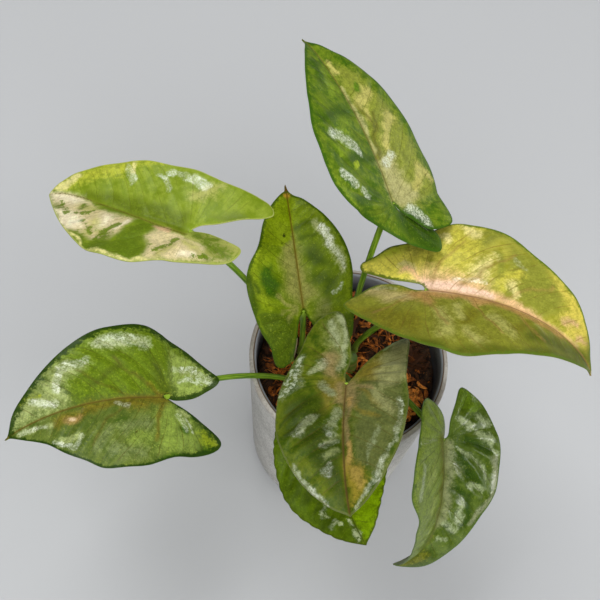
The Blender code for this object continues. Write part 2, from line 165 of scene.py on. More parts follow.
# Colours of the other materials, the floor and the sky
STALK = dict(dark=(0.075, 0.165, 0.006), light=(0.20, 0.33, 0.022), spot=(0.30, 0.27, 0.05),
             foot=(0.30, 0.37, 0.07), joint=(0.26, 0.40, 0.03))
STEM = dict(dark=(0.08, 0.15, 0.012), light=(0.19, 0.28, 0.035), ring=(0.30, 0.21, 0.07))
SHEATH = dict(dark=(0.30, 0.22, 0.11), light=(0.62, 0.52, 0.34), stain=(0.33, 0.30, 0.10))
MIX = dict(dark=(0.012, 0.007, 0.005), light=(0.055, 0.028, 0.014), fibre=(0.26, 0.09, 0.02))
BARK = dict(dark=(0.06, 0.022, 0.008), light=(0.60, 0.17, 0.022), dry=(0.95, 0.33, 0.055),
            grain=(0.05, 0.016, 0.006))
WALL = dict(dark=(0.50, 0.487, 0.450), light=(0.62, 0.605, 0.565), speck=(0.27, 0.26, 0.235),
            pale=(0.78, 0.76, 0.70), dot=(0.17, 0.155, 0.14))
LIP = dict(dark=(0.42, 0.38, 0.33), light=(0.58, 0.55, 0.50), speck=(0.20, 0.17, 0.14),
           line=(0.13, 0.085, 0.05))
# Inside of the pot: its colour by the rim, the painted shade it darkens to by the mix, and clouds
INSIDE = dict(top=(0.30, 0.32, 0.35), deep=(0.05, 0.053, 0.06), cloud=(0.16, 0.17, 0.19))
FLOOR = (0.485, 0.495, 0.505)
SKY = (0.97, 0.98, 1.0)
SKY_STRENGTH = 0.06

# Blades, as in the part's source: joint, length, how they point and curve, and half outlines
# as places along the midrib and out from it
LEAVES = {
    "top": dict(
        joint=(3.8, 22.4, 192.4), length=73, aim=(120, 22, 17), turn=(22, 8, 2), late=1.4,
        fold=(23, -4), curl=(-11, -18), lobes=(-15, 15), back=-45, ripple=0.5,
        left=[(-3, -2), (-6, -8), (-9, -14), (-16, -16), (-22, -13), (-22, -9), (-17, -1), (-10, 8),
              (0, 23), (9, 29), (20, 30.5), (32, 29), (44, 23.5), (56, 16), (66, 7)],
        right=[(-4, 2.5), (-9, 7), (-13, 11.5), (-14.3, 17), (-14.2, 22), (-12.5, 25), (-7, 26.7),
               (1, 28), (15, 28), (30, 27), (41, 25.5), (50, 20.5), (60, 14), (68, 6)]),
    "back_left": dict(
        joint=(-72.2, 14, 166.2), length=67, aim=(164, -7, 5), turn=(14, 1, -2), late=1.4,
        fold=(18, 18), curl=(-11, -8), lobes=(8, 9), back=0, ripple=0.8,
        left=[(-3, -1), (-8, -2), (-15, -1.5), (-22, 0), (-23, 4), (-20, 9.5), (-10, 15.5), (2, 22),
              (12, 26.5), (22, 28), (31, 27), (41, 22), (51, 15), (60, 7)],
        right=[(-3, 3), (-9, 6.5), (-17, 12), (-25, 17.5), (-27, 21), (-22, 25), (-10, 25), (5, 25.5),
               (20, 25), (34, 22.5), (46, 17.5), (57, 12), (64, 6)]),
    "middle": dict(
        joint=(-23.3, -0.4, 139.9), length=55, aim=(107, 20, 1), turn=(23, -3, -1), late=1.4,
        fold=(18, 17), curl=(-10, -10), lobes=(10, 10), back=0, ripple=0.6,
        left=[(-4, 2.5), (-11, 4.5), (-18, 7), (-22, 11), (-20.5, 14.5), (-13, 16), (-6, 19.5),
              (4, 22.5), (13, 23), (20, 21), (28, 16), (38, 12.5), (46, 8), (52, 3)],
        right=[(-4, 2), (-10, 5), (-15, 9), (-17, 14), (-13, 18), (-5, 20), (5, 21), (14, 22.5),
               (22, 22), (31, 19), (40, 14), (48, 7), (51, 3)]),
    "right": dict(
        joint=(20.9, -2.8, 175.3), length=75, aim=(-8, 18, -11), turn=(72, -7, -1), late=1.5,
        fold=(16, 16), curl=(-13, -12), lobes=(10, 11), back=0, ripple=0.7,
        left=[(-3, 2.5), (-12, 3), (-21, 5), (-27, 7), (-28, 11), (-23, 15), (-18, 19.5), (-9, 23),
              (2, 30), (12, 32.5), (25, 30), (40, 23), (53, 17.5), (62, 10.5), (70, 3.5)],
        right=[(-4, 0.5), (-11, -1.5), (-18, -1), (-24, 4), (-29, 10), (-28, 13), (-20, 18), (-10, 24),
               (2, 29.5), (15, 32.5), (27, 30), (38, 23), (50, 16), (62, 9), (71, 3)]),
    "front": dict(
        joint=(-4.3, -40.7, 164.9), length=56, aim=(-92, 25, 17), turn=(21, 10, 2), late=1.4,
        fold=(15.5, 13), curl=(-11, -13), lobes=(-8, -35), back=0, ripple=0.5,
        left=[(-3, 2.5), (-8, 5.5), (-15, 10), (-21, 16), (-25, 20.5), (-23, 22.8), (-12, 22.5),
              (2, 22.8), (14, 23.8), (25, 22.5), (36, 19), (45, 13.5), (52, 7)],
        right=[(-5, 0.7), (-12, -0.8), (-20, -0.5), (-28, 1), (-35, 3), (-36.5, 7), (-33, 13),
               (-25, 17.5), (-14, 20.5), (-2, 23), (12, 24.2), (24, 23.5), (35, 19.5), (45, 13.5),
               (52, 6.5)]),
    "front_low": dict(
        joint=(-7.1, -41.4, 122.6), length=53, aim=(-80, 15, 18), turn=(24, 21, 2), late=1.4,
        fold=(16, 13), curl=(-11, -12), lobes=(10, 10), back=0, ripple=0.9,
        left=[(-4, 3), (-12, 7), (-19, 12), (-20, 17), (-14, 21), (-3, 23), (10, 23.5), (22, 22.5),
              (32, 19), (41, 13.5), (48, 7.5)],
        right=[(-4, 3), (-11.5, 6.5), (-17, 10), (-17.5, 14), (-12.5, 18), (-3, 21.5), (10, 23),
               (22, 23), (32, 20), (40, 14), (47, 7.5)]),
    "left": dict(
        joint=(-73, -41.9, 128), length=64.5, aim=(196, 27.4, 8), turn=(49, 16.4, 0), late=1.2,
        fold=(9, 16.5), curl=(-16, -10), lobes=(10, -50), back=0, ripple=0.6,
        left=[(-3, 3), (-8, 6), (-13, 10), (-18.5, 15), (-21, 19.5), (-17, 23.5), (-8, 25.7), (2, 27.2),
              (12, 29.3), (22, 29.7), (31.5, 27.9), (38.5, 23), (45, 17.8), (51, 11), (58, 5.5)],
        right=[(-4, -0.9), (-11.5, 0), (-18, 3), (-22.8, 6), (-23.6, 9.3), (-18.5, 14), (-12, 20),
               (-4, 25), (7, 30.6), (20, 31), (30, 26.8), (40, 21), (50, 13.2), (58.5, 7)]),
    "front_right": dict(
        joint=(41.3, -39.5, 118.1), length=64, aim=(-79, -27, -26), turn=(64, -37, 0), late=2,
        fold=(22, 32), curl=(-15, -19), lobes=(9, 8), back=0, ripple=0.6,
        left=[(-2, 2), (-8, 3.5), (-15, 6.5), (-20.5, 9.5), (-20, 13), (-13, 20), (-3, 24), (9, 26),
              (20, 24), (31, 18.5), (43, 12.5), (54, 7.5), (60, 2.5)],
        right=[(-2, -1), (-6, -2), (-11, 0), (-16, 5), (-18, 10), (-14, 14), (-6, 17.5), (3, 24),
               (12, 27), (22, 25.5), (30, 20), (37, 17.5), (45, 12.5), (54, 6.5), (60, 2.5)]),
}

# Drawn-out tips: the last point of each margin and where the tip ends
TIPS = {
    "top": ((71.8, 0.8), 74.2), "middle": ((54.2, 0.8), 58.2),
    "right": ((74.3, 0.7), 76.5), "left": ((63.6, 0.9), 66.0),
}

# Small waves along a margin: how far they go in and out
CRENATIONS = {"front_low": 0.45}

# Stalks, as in the part's source: foot on the mix and how each one leaves it and meets its blade
STALKS = {
    "top": dict(foot=(-4.6, 5), leave=(3, 5, 32), arrive=(5.5, 11.5, 27.5)),
    "back_left": dict(foot=(-25.6, -2.1), leave=(-1, 5, 29), arrive=(-21.5, 3, 15.5)),
    "middle": dict(foot=(-22.5, 4.2), leave=(1, -2.5, 15), arrive=(-1.5, 5, 13.5)),
    "right": dict(foot=(3, 8.5), leave=(-3, -5, 25), arrive=(11, 3, 23.5)),
    "front": dict(foot=(-2, -6.8), leave=(0, -4, 25), arrive=(-5.5, -6.5, 21.5)),
    "front_low": dict(foot=(-14.6, -7), leave=(0.5, -2.5, 15), arrive=(-2, -6.5, 12)),
    "left": dict(foot=(-23, -10.5), leave=(1, -2.5, 10), arrive=(-16.5, -24.5, 15)),
    "front_right": dict(foot=(7, -4.5), leave=(4.5, 0.5, 19), arrive=(8.5, -13.5, 5)),
}

# Looks of each blade. Base runs from dark to light in streaks between the veins, and under is
# the lower side. Quilt is how far the blade swells between the side veins of each half, and
# lines is how clear those veins are. Border is the width of the margin's own colour, divided
# by rim on the left half. The painted_sheen_strength is how far a painted sheen whitens the
# glossy places as a painted highlight, wax the shine elsewhere and freckle the strength of fine
# specks. Spine is where the midrib runs on the flat blade.
PAINT = {
    "top": dict(
        base=((0.05, 0.115, 0.004), (0.15, 0.22, 0.012)), vein=(0.1, 0.14, 0.01),
        midrib=(0.19, 0.17, 0.03), margin=(0.035, 0.095, 0.004), under=(0.17, 0.26, 0.07),
        quilt=(0.6, 0.4), border=1.2, painted_sheen_strength=0.48, freckle=0.35, lines=0.6, wax=0.06,
        spine=[(0, 0), (73, 0)]),
    "back_left": dict(
        base=((0.165, 0.239, 0.01), (0.262, 0.34, 0.03)), vein=(0.125, 0.166, 0.01),
        midrib=(0.165, 0.147, 0.021), margin=(0.36, 0.4, 0.1), under=(0.349, 0.368, 0.136),
        quilt=(0.2, 0.25), border=0.45, painted_sheen_strength=0.22, freckle=0.1, lines=0.35, wax=0.06,
        spine=[(0, 3), (10, 3), (20, 2.2), (30, 1.2), (40, 0), (50, -1.3), (60, -1.6), (67, 0)]),
    "middle": dict(
        base=((0.099, 0.15, 0.002), (0.164, 0.235, 0.004)), vein=(0.082, 0.114, 0.002),
        midrib=(0.164, 0.114, 0.007), margin=(0.041, 0.081, 0.002), under=(0.197, 0.259, 0.026),
        quilt=(0.4, 0.55), border=1.3, painted_sheen_strength=0.34, freckle=0.4, lines=0.6, wax=0.024,
        spine=[(0, 0), (55, 0)]),
    "right": dict(
        base=((0.27, 0.27, 0.02), (0.46, 0.42, 0.06)), vein=(0.24, 0.15, 0.03),
        midrib=(0.38, 0.205, 0.08), margin=(0.09, 0.15, 0.01), under=(0.36, 0.34, 0.12),
        quilt=(0.3, 0.35), border=1.2, painted_sheen_strength=0.12, freckle=0.2, lines=0.5, wax=0.048,
        spine=[(0, 0), (75, 0)]),
    "front": dict(
        base=((0.041, 0.078, 0.002), (0.125, 0.16, 0.009)), vein=(0.14, 0.108, 0.025),
        midrib=(0.15, 0.092, 0.026), margin=(0.108, 0.13, 0.03), under=(0.184, 0.194, 0.06),
        quilt=(0.7, 0.85), border=0.6, painted_sheen_strength=0.1, freckle=0.14, lines=0.6, wax=0.03,
        spine=[(0, 0), (56, 0)]),
    "front_low": dict(
        base=((0.052, 0.09, 0.001), (0.105, 0.175, 0.003)), vein=(0.112, 0.178, 0.014),
        midrib=(0.122, 0.167, 0.012), margin=(0.065, 0.099, 0.003), under=(0.103, 0.158, 0.016),
        quilt=(0.5, 0.5), border=0.7, painted_sheen_strength=0.08, freckle=0.22, lines=0.7, wax=0.012,
        spine=[(0, 0), (53, 0)]),
    "left": dict(
        base=((0.074, 0.116, 0.014), (0.143, 0.191, 0.032)), vein=(0.092, 0.07, 0.01),
        midrib=(0.175, 0.121, 0.016), margin=(0.009, 0.034, 0.001), under=(0.193, 0.27, 0.08),
        quilt=(0.7, 0.8), border=2.7, rim=2.6, painted_sheen_strength=0.26, freckle=0.4, lines=0.55, wax=0.048,
        spine=[(0, 0), (64.5, 0)]),
    "front_right": dict(
        base=((0.048, 0.086, 0.003), (0.105, 0.16, 0.016)), vein=(0.066, 0.102, 0.006),
        midrib=(0.177, 0.189, 0.062), margin=(0.059, 0.111, 0.006), under=(0.192, 0.269, 0.074),
        quilt=(1.4, 0.6), border=0.7, painted_sheen_strength=0.05, freckle=0.4, lines=0.9, wax=0.42,
        spine=[(0, 0.8), (64, 0)]),
}

# Patches of colour on each blade, from the lowest: a colour, how ragged and how soft its border
# is, and its marks on the flat blade (along the midrib; out from it, left positive). A mark is
# a line with a radius, or with radius 0 a closed area. Some patches hold painted highlights,
# painted sheen and painted light; each such patch says so where it stands.
LAYERS = {
    "top": [
        ((0.18, 0.27, 0.015), 0.6, 0.9, [(3, (23, 20), (33, 10)), (2.6, (2, 24), (9, 27)),
         (2.4, (45, 8), (56, 4))]),
        ((0.045, 0.1, 0.004), 0.6, 0.9, [(2.2, (37, 22), (37, 6)), (2, (18, 18), (18, 3)),
         (1.6, (3, 20), (5, 9)), (2, (52, 12), (60, 6))]),
        ((0.24, 0.27, 0.035), 0.5, 0.9, [(0, (-2, -1), (62, -1), (52, -13), (36, -21), (14, -24),
         (2, -24), (-5, -14))]),
        ((0.41, 0.385, 0.16), 0.6, 0.9, [(0, (0, 0), (6, 1), (17, 0), (20, -6), (18, -10), (9, -9),
         (3, -14), (-1, -15), (-3, -6)), (0.9, (20, -0.8), (48, -0.8))]),
        ((0.48, 0.44, 0.12), 0.6, 0.7, [(2.2, (5, -14), (11, -20)), (1.6, (9, -22), (5, -25)),
         (2.4, (29, -12), (33, -17)), (1.4, (22, -7), (26, -10)), (2.3, (41, -5), (45, -12)),
         (1.3, (55, -2), (61, -3)), (1.2, (34, -4), (38, -6))]),
        ((0.13, 0.13, 0.015), 0.5, 0.9, [(1, (18, -1), (27, -5), (36, -9)), (0.8, (30, -5), (40, -3))]),
        ((0.36, 0.46, 0.02), 0.3, 0.4, [(1.6, (15, 14.5), (15.4, 16))]),
        ((0.09, 0.2, 0.006), 0.4, 0.4, [(1.5, (46, -8), (47.5, -9))]),
        ((0.03, 0.075, 0.003), 0.6, 0.6, [(0, (-22, -9), (-22, -13), (-16, -16), (-9, -14), (-3, -4),
         (-4, 2), (-14, -1))]),
        ((0.045, 0.1, 0.004), 0.3, 0.4, [(1.4, (71, 0), (76, 0))]),
    ],
    "back_left": [
        ((0.116, 0.166, 0.007), 0.7, 0.7, [(0, (1, 3), (30, 0.5), (50, -2), (50, -5), (30, -6),
         (12, -8), (3, -6)), (0, (-12, -8), (-20, -12), (-18, -14), (-6, -10))]),
        ((0.388, 0.396, 0.102), 0.6, 0.7, [(0, (-24, 3), (-20, 10), (-10, 16), (0, 21), (0, 4), (-1, 1),
         (-8, -2), (-22, -1)), (0, (-3, -16), (0, -13.5), (5, -12.5), (6, -15), (2, -21), (-2, -22),
         (-5, -24))]),
        ((0.72, 0.6, 0.33), 0.3, 0.5, [(0, (-20, 8), (-12, 14), (0, 20.5), (8, 23.5), (9, 20), (10, 17),
         (14, 12), (12, 4), (0, 5), (-10, 5.5), (-11, 9), (-16, 10)), (0, (22, 3), (23, 10), (22, 14),
         (25, 20), (31, 21), (41, 20), (46, 18), (60, 7), (67, 0), (60, -2), (50, -1.5), (45, 0),
         (40, 4), (34, 4), (28, 3))]),
        ((0.455, 0.432, 0.136), 0.9, 0.9, [(2.6, (35, 12), (36, 19)), (2.2, (42, 4), (46, 4)),
         (2, (26, 19), (30, 16)), (2, (-3, 8), (-9, 11)), (1.6, (3, 20), (1, 12))]),
        ((0.94, 0.81, 0.56), 0.3, 1, [(0, (40, 15), (43, 19), (50, 15.5), (58, 9), (50, 9), (44, 9.5),
         (41, 12)), (0, (47, 1), (52, 5), (63, 4.5), (67, 0), (60, -2), (50, -1.5)), (0, (30, 6),
         (30, 12), (33, 14), (35, 6), (32, 5)), (1.3, (-8, 13), (-4, 15)), (1.2, (24, 6), (26, 12))]),
        ((0.64, 0.4, 0.23), 0.4, 0.9, [(1.3, (7, 4.2), (13, 5))]),
        ((0.105, 0.165, 0.007), 1.5, 0.8, [(0, (8, 24), (12, 27), (22, 29), (30, 28), (36, 26),
         (42, 21), (43, 19), (38, 19), (33, 22), (29, 19), (27, 15), (24, 16), (23, 20), (22, 14),
         (21, 8), (21, 3), (13, 3.5), (13, 8), (15, 12), (11, 16), (9, 20)), (0, (28, 3), (30, 5),
         (38, 4), (40, 1), (30, 1)), (1.4, (52, 8.5), (58, 7)), (3, (-17, 6), (-10, 4)),
         (1.5, (-12, 10), (-14, 11)), (1.5, (-3, 1), (-12, 1)), (0.9, (30, 21), (26, 23)),
         (0.8, (46, 3), (46, 6))]),
        ((0.42, 0.45, 0.04), 0.9, 1, [(0, (24, -24), (34, -23), (46, -18), (57, -12), (64, -6),
         (66, -3), (60, -4), (52, -8), (44, -12), (36, -17))]),
        ((0.717, 0.662, 0.255), 0.6, 0.6, [(1.5, (56, -10), (63, -4)), (0.8, (33, -17), (33.5, -21)),
         (0.7, (2, 21.8), (12, 26.2), (22, 27.7), (31, 26.7), (41, 21.7), (51, 14.7))]),
        ((0.13, 0.195, 0.01), 1.9, 0.4, [(1.3, (26, 9), (30, 20)), (1.1, (34, 17), (41, 12)),
         (0.9, (40, 6), (46, 9)), (1, (1, 8), (5, 18)), (0.8, (50, 10), (56, 6)), (0.9, (-14, 9),
         (-8, 14))]),
    ],
    "middle": [
        ((0.17, 0.19, 0.04), 0.9, 1, [(2.6, (-8, -6), (1, -9)), (1.2, (-13, -10), (-8, -15))]),
        ((0.062, 0.102, 0.002), 0.4, 0.25, [(0, (-22, 11), (-20, 16), (-10, 18), (0, 21), (1, 12),
         (-4, 3), (-18, 7)), (0, (-4, -3), (-14, -9), (-17, -14), (-12, -19), (-4, -20), (-1, -10))]),
        ((0.213, 0.284, 0.008), 0.9, 0.7, [(0, (2, 14), (4, 22), (14, 22.5), (24, 19), (26, 16),
         (22, 13), (20, 18), (12, 19), (6, 16))]),
        ((0.041, 0.081, 0.001), 0.8, 0.7, [(1.6, (2, 21.5), (16, 22)), (0.9, (8, 19), (14, 20))]),
        ((0.029, 0.085, 0.002), 0.45, 0.5, [(0, (5, 10), (6, 16), (12, 17), (19, 16), (20, 12),
         (14, 10), (10, 8))]),
        ((0.236, 0.232, 0.058), 0.55, 1, [(0, (1, -1), (3, 2), (8, 7), (24, 6), (37, 7), (37, 0),
         (22, -2), (12, -3), (7, -8)), (0.8, (-4, 7), (1, 3)), (0.7, (0, 9), (1, 3)), (0.7, (6, 10),
         (2, 3))]),
        ((0.172, 0.243, 0.002), 0.4, 0.25, [(0, (28, 2), (28, 13), (38, 11.5), (46, 7), (53, 2),
         (52, -2), (45, -5), (36, -2))]),
        ((0.042, 0.076, 0.002), 0.6, 1, [(0, (25.4, -3.4), (26.5, -8.5), (22.4, -12.7), (18.4, -13.7),
         (17.4, -9.4), (19.9, -4.7)), (0, (13.9, -4.7), (14.4, -9.8), (12.5, -16.2), (6.5, -14.5),
         (2.5, -10.4), (6, -9), (9.2, -10.3), (10.5, -5)), (0.6, (30, -3), (32, -9)), (0.6, (34, -2),
         (37, -8))]),
        # Painted sheen: a soft whitish band inside the right margin
        ((0.3, 0.33, 0.13), 1.1, 1, [(1.5, (36, -10), (28.7, -14.4), (22, -17), (15, -18.5))]),
        ((0.47, 0.254, 0.024), 0.3, 0.5, [(1.8, (52.5, 0), (54, 0))]),
        ((0.1, 0.03, 0.016), 0.2, 0.3, [(1.6, (55.6, 0), (60, 0))]),
        ((0.016, 0.024, 0.001), 0.2, 0.25, [(0.9, (32, 4), (32.2, 4.3)), (0.4, (29, 6), (29.1, 6))]),
    ],
    "right": [
        ((0.208, 0.218, 0.022), 0.2, 0.2, [(0, (-3, -1), (75, 0), (62, -10), (38, -24), (15, -33),
         (2, -30), (-12, -24), (-30, -12), (-24, -3), (-12, 2))]),
        # Cream-yellow left lobe, its own colour lightened with painted light where the top blade shades
        # it
        ((0.85, 0.76, 0.11), 0.6, 0.7, [(0, (-28, 11), (-27, 7), (-10, 3), (-3, 3), (-2, 10), (-8, 18),
         (-20, 17))]),
        ((0.36, 0.42, 0.022), 0.8, 0.9, [(0, (-27, 12), (-23, 15), (-18, 19.5), (-10, 21), (-18, 14))]),
        ((0.235, 0.25, 0.03), 0.9, 0.9, [(2, (10, 19), (14, 26)), (1.6, (-3, 19), (2, 24)),
         (1.4, (26, 12), (22, 20)), (1.4, (14, 30), (26, 28), (38, 23)), (0, (24, 7), (27, 14),
         (24, 26), (36, 24), (46, 18), (50, 9), (44, 3), (34, 3)), (2.5, (16, 24), (20, 29))]),
        ((0.54, 0.49, 0.06), 0.9, 1, [(0, (2, 14), (6, 30), (12, 32), (15, 25), (16, 14), (20, 7),
         (14, 4), (5, 6)), (2.2, (-8, 12), (-3, 16)), (1.8, (26, 6), (31, 14))]),
        ((0.6, 0.5, 0.08), 0.9, 0.9, [(0, (44, 20), (53, 18), (62, 11), (68, 5), (66, 1), (53, 1),
         (51, 6), (52, 11))]),
        ((0.68, 0.6, 0.22), 1, 0.9, [(0, (14, 10), (18, 15), (21, 18), (20, 9), (17, 6)), (1.8, (9, 31),
         (13, 28)), (1.2, (2, 25), (4, 22)), (1.4, (-12, 12), (-6, 8)), (1.2, (30, 9), (33, 6))]),
        ((0.17, 0.16, 0.012), 0.7, 0.8, [(0, (-29, -12), (-20, -12), (-10, -13), (0, -15), (5, -26),
         (-10, -24), (-20, -18)), (1.8, (20, -10), (17, -16)), (1.8, (38, -6), (34, -12))]),
        ((0.36, 0.35, 0.09), 0.9, 1, [(2.4, (8, -12), (13, -24)), (2.2, (20, -20), (24, -25)),
         (2, (27, -10), (33, -15)), (1.6, (14, -8), (15, -13)), (1.4, (44, -4), (47, -8))]),
        ((0.62, 0.4, 0.19), 0.9, 0.9, [(1.4, (52, 5), (57, 7)), (1, (60, 3), (64, 4))]),
        ((0.8, 0.5, 0.26), 0.4, 1, [(4.5, (-1, 4), (8, 4), (18, 2.5)), (1.6, (18, 2.5), (42, 1.2)),
         (0.5, (42, 1), (62, 0.3)), (1.6, (-4, 5), (-9, 8))]),
        ((0.94, 0.61, 0.45), 0.4, 0.9, [(2.4, (-1, 2.4), (10, 2.4)), (1.6, (10, 2.2), (24, 1.2))]),
        ((0.44, 0.25, 0.08), 0.4, 1.1, [(3, (-4, -5), (1, -3), (2, -6)), (1.6, (0, -2), (52, -1.4)),
         (0.9, (18, -1.5), (20, -5))]),
        ((0.44, 0.36, 0.14), 0.5, 0.9, [(2.6, (-20, -3), (-12, -6), (-6, -6))]),
        ((0.078, 0.1, 0.006), 0.6, 0.9, [(2.6, (2, -29.5), (15, -32.5), (27, -30), (38, -23),
         (50, -15.5), (62, -8.5)), (4, (42, -12), (54, -7), (68, -2)), (0, (64, 6), (70, 4), (75, 0),
         (70, -1), (67, 1))]),
        ((0.3, 0.185, 0.05), 0.2, 0.9, [(0.4, (1, -1), (5, -10), (12, -20)), (0.35, (18, -1), (23, -9),
         (31, -17)), (0.3, (33, -1), (39, -8), (46, -12)), (0.3, (-2, -2), (-8, -10), (-16, -16)),
         (0.3, (2, 3), (4, 12), (10, 24)), (0.3, (12, 3), (20, 12), (28, 22)), (0.3, (28, 2), (36, 9),
         (44, 16))]),
    ],
    "front": [
        ((0.12, 0.14, 0.038), 0.6, 0.9, [(0, (3, 4), (40, 4), (45, 13), (25, 23), (2, 23), (-5, 14))]),
        ((0.205, 0.162, 0.022), 0.6, 1.1, [(0, (-14, 11), (-6, 4), (0, 0), (8, -2), (18, -11), (10, -9),
         (2, -9), (-4, -5), (-3, 0), (3, 13), (-8, 19), (-20, 18)), (0.7, (5, 6), (16, 14)),
         (0.7, (12, 3), (22, 12))]),
        ((0.2, 0.23, 0.07), 0.8, 1, [(0, (-26, 20), (-20, 23), (2, 23), (-2, 18), (-10, 13), (-18, 15)),
         (3.2, (-32, -5), (-14, -5))]),
        # Painted sheen on the upper lobe
        ((0.3, 0.31, 0.12), 0.9, 1, [(2.4, (-21, 18), (-6, 19))]),
        # Painted sheen: pale silvery streaks along the lobes
        ((0.34, 0.38, 0.2), 0.9, 1, [(1.3, (-35, -4), (-28, -1.5), (-18, -1.5), (-8, -3)),
         (1, (-32, -7), (-20, -5)), (1, (-22, 20), (-10, 21)), (1.2, (-10, -9), (-5, -13))]),
        # Painted highlights: crisp white specks
        ((0.46, 0.52, 0.36), 1.4, 0.4, [(0.6, (-14, -18), (-2, -19.5)), (0.5, (-12, -10), (-10, -9)),
         (0.5, (0, -19), (9, -22)), (0.4, (-6, -21), (2, -22.5)), (0.5, (19, -11), (25, -15)),
         (0.3, (14, 22), (22, 22)), (0.3, (3, -7), (6, -6))]),
        ((0.265, 0.27, 0.105), 0.8, 1, [(0, (-26, 21), (-20, 24), (4, 24), (7, 15), (-3, 12),
         (-12, 12)), (2, (8, 12), (18, 17))]),
        ((0.38, 0.47, 0.2), 0.4, 0.6, [(0.7, (-17, 12.5), (-21, 16), (-25, 20.5))]),
        ((0.27, 0.205, 0.08), 0.5, 1, [(3, (-14, -7), (-6, -6)), (2.6, (1, 2), (12, 2)),
         (1.2, (12, 1.6), (30, 1)), (0.8, (0, 2), (6, 11)), (1.6, (0, -2), (10, -2))]),
        ((0.44, 0.29, 0.085), 0.6, 0.8, [(1.3, (31, 2), (39, 2.6)), (1, (8, 1), (12, 1.4)), (1, (39, 3),
         (44, 5))]),
        ((0.265, 0.205, 0.022), 0.8, 0.8, [(0, (36, 4), (41, 6), (46, 7), (50, 6), (52, 3), (52, 1),
         (43, 1), (36, 1.5))]),
        ((0.34, 0.245, 0.05), 0.8, 0.8, [(1.2, (41, 4), (47, 5))]),
        ((0.035, 0.059, 0.002), 0.5, 0.8, [(0, (6, -10), (12, -20), (24, -20), (34, -12), (54, -0.5),
         (28, -0.6), (20, -6))]),
        # Painted highlights on the swellings between the veins of the right half
        ((0.17, 0.2, 0.07), 0.8, 1, [(1.4, (14, -3), (20, -4)), (1, (26, -3), (29, -6)), (1, (33, -3),
         (35, -6)), (1.3, (2, -8), (7, -5)), (1.1, (17, -10), (25, -15))]),
        # Painted highlights: silvery lines along the margins
        ((0.24, 0.28, 0.14), 0.9, 0.8, [(0.5, (28, 20.5), (34, 18.7), (42, 13.2), (49, 8), (54, 3)),
         (0.25, (40, -15.8), (46, -12), (52, -6)), (0.5, (26, 12), (40, 8))]),
    ],
    "front_low": [
        # Lime tip, its own colour brightened with painted light for the glow of light through the blade
        ((0.225, 0.375, 0.002), 0.5, 0.8, [(0, (32, 19), (41, 14), (49, 7), (54, 0), (41, 0.2),
         (34, 6))]),
        ((0.09, 0.15, 0.004), 0.9, 0.9, [(2, (10, -22), (24, -21), (34, -18), (42, -12)),
         (1.5, (38, -3), (48, -3))]),
        ((0.05, 0.085, 0.002), 0.9, 0.9, [(1.4, (24, -8), (30, -14)), (1.2, (38, -8), (42, -11))]),
        # Painted highlights: white streaks near the tip
        ((0.42, 0.48, 0.24), 1.2, 0.5, [(0.5, (42, -1.5), (49, -1.5)), (0.4, (36, -9), (39, -7)),
         (0.4, (40, -7), (42, -5))]),
    ],
    "left": [
        ((0.124, 0.195, 0.006), 0.5, 0.7, [(0, (1, -1), (10, -1.5), (36, -1), (38, -12), (32, -24),
         (20, -31), (6, -31), (-8, -24), (-2, -14))]),
        ((0.087, 0.126, 0.008), 0.7, 0.9, [(2.4, (2, -4), (4, -14)), (1.6, (18, -14), (28, -8))]),
        ((0.276, 0.363, 0.072), 0.6, 0.8, [(0, (-23, -6), (-14, -1), (-3, -2), (-2, -14), (-5, -22),
         (-14, -18), (-23, -10))]),
        ((0.221, 0.307, 0.048), 0.7, 0.9, [(0, (-2, 4), (-10, 12), (-12, 20), (0, 26), (9, 22), (9, 12),
         (4, 6)), (2.5, (13, 19), (17, 20))]),
        ((0.147, 0.223, 0.016), 0.5, 0.7, [(1.6, (-16, -16), (5, -28), (20, -28.5), (40, -19))]),
        ((0.037, 0.093, 0.003), 0.8, 0.9, [(0, (-22, 19), (-17, 24), (-9, 26), (-12, 20), (-14, 14),
         (-19, 15)), (1.4, (-10, 9), (-4, 4)), (1.4, (-6, 16), (-3, 15)), (0.8, (15, 11), (16, 12)),
         (0.7, (20, 10), (22, 11)), (1, (-8, 24.5), (6, 27))]),
        ((0.184, 0.153, 0.013), 0.6, 1.1, [(1.8, (1, 1.5), (34, 1.4)), (2.4, (30, 3), (44, 5)),
         (0.6, (2, 2), (9, 19)), (0.5, (2, -1), (8, -5)), (2, (10, 4), (18, 3))]),
        ((0.18, 0.23, 0.07), 1.1, 1, [(2.2, (14, 24), (26, 22)), (2, (10, 12), (20, 14)),
         (1.6, (26, 14), (32, 18))]),
        ((0.368, 0.242, 0.08), 0.5, 0.9, [(1.6, (36, 5), (40, 6))]),
        # Pale sage tip, its own colour, with painted sheen in the marks on the swellings and lobes
        ((0.331, 0.391, 0.136), 0.9, 1, [(0, (42, -1), (60, -1), (58, -5), (48, -10), (38, -18),
         (30, -16), (38, -10)), (1.8, (8, -23), (14, -25)), (2.2, (17, -23), (24, -24)),
         (0.8, (-18, -8), (-6, -11)), (0.8, (-15, -12), (-8, -12)), (1.1, (38, 14), (45, 13)),
         (1, (48, 4), (60, 2)), (1, (-9, 14), (-6, 11)), (1.2, (-7, 8), (-4, 6))]),
        ((0.21, 0.26, 0.012), 1.2, 1, [(2.2, (-18, 19), (-14, 18)), (0.9, (48, -9.5), (54, -8))]),
        ((0.037, 0.019, 0.003), 0.3, 0.3, [(0.5, (15, 17), (15.3, 17)), (0.35, (31, 8), (31.1, 8))]),
        # Painted highlights: crisp white specks on the lobe and near the right margin
        ((0.52, 0.6, 0.38), 1.4, 0.4, [(0.8, (-21, -7), (-14, -9)), (0.6, (-16, -6), (-8, -8)),
         (0.6, (-14, -13), (-8, -12)), (0.5, (10, -25), (22, -25)), (0.4, (-9, 16), (-6, 10))]),
        ((0.69, 0.521, 0.32), 0.3, 0.5, [(0.8, (38.3, 5), (39.2, 5.2))]),
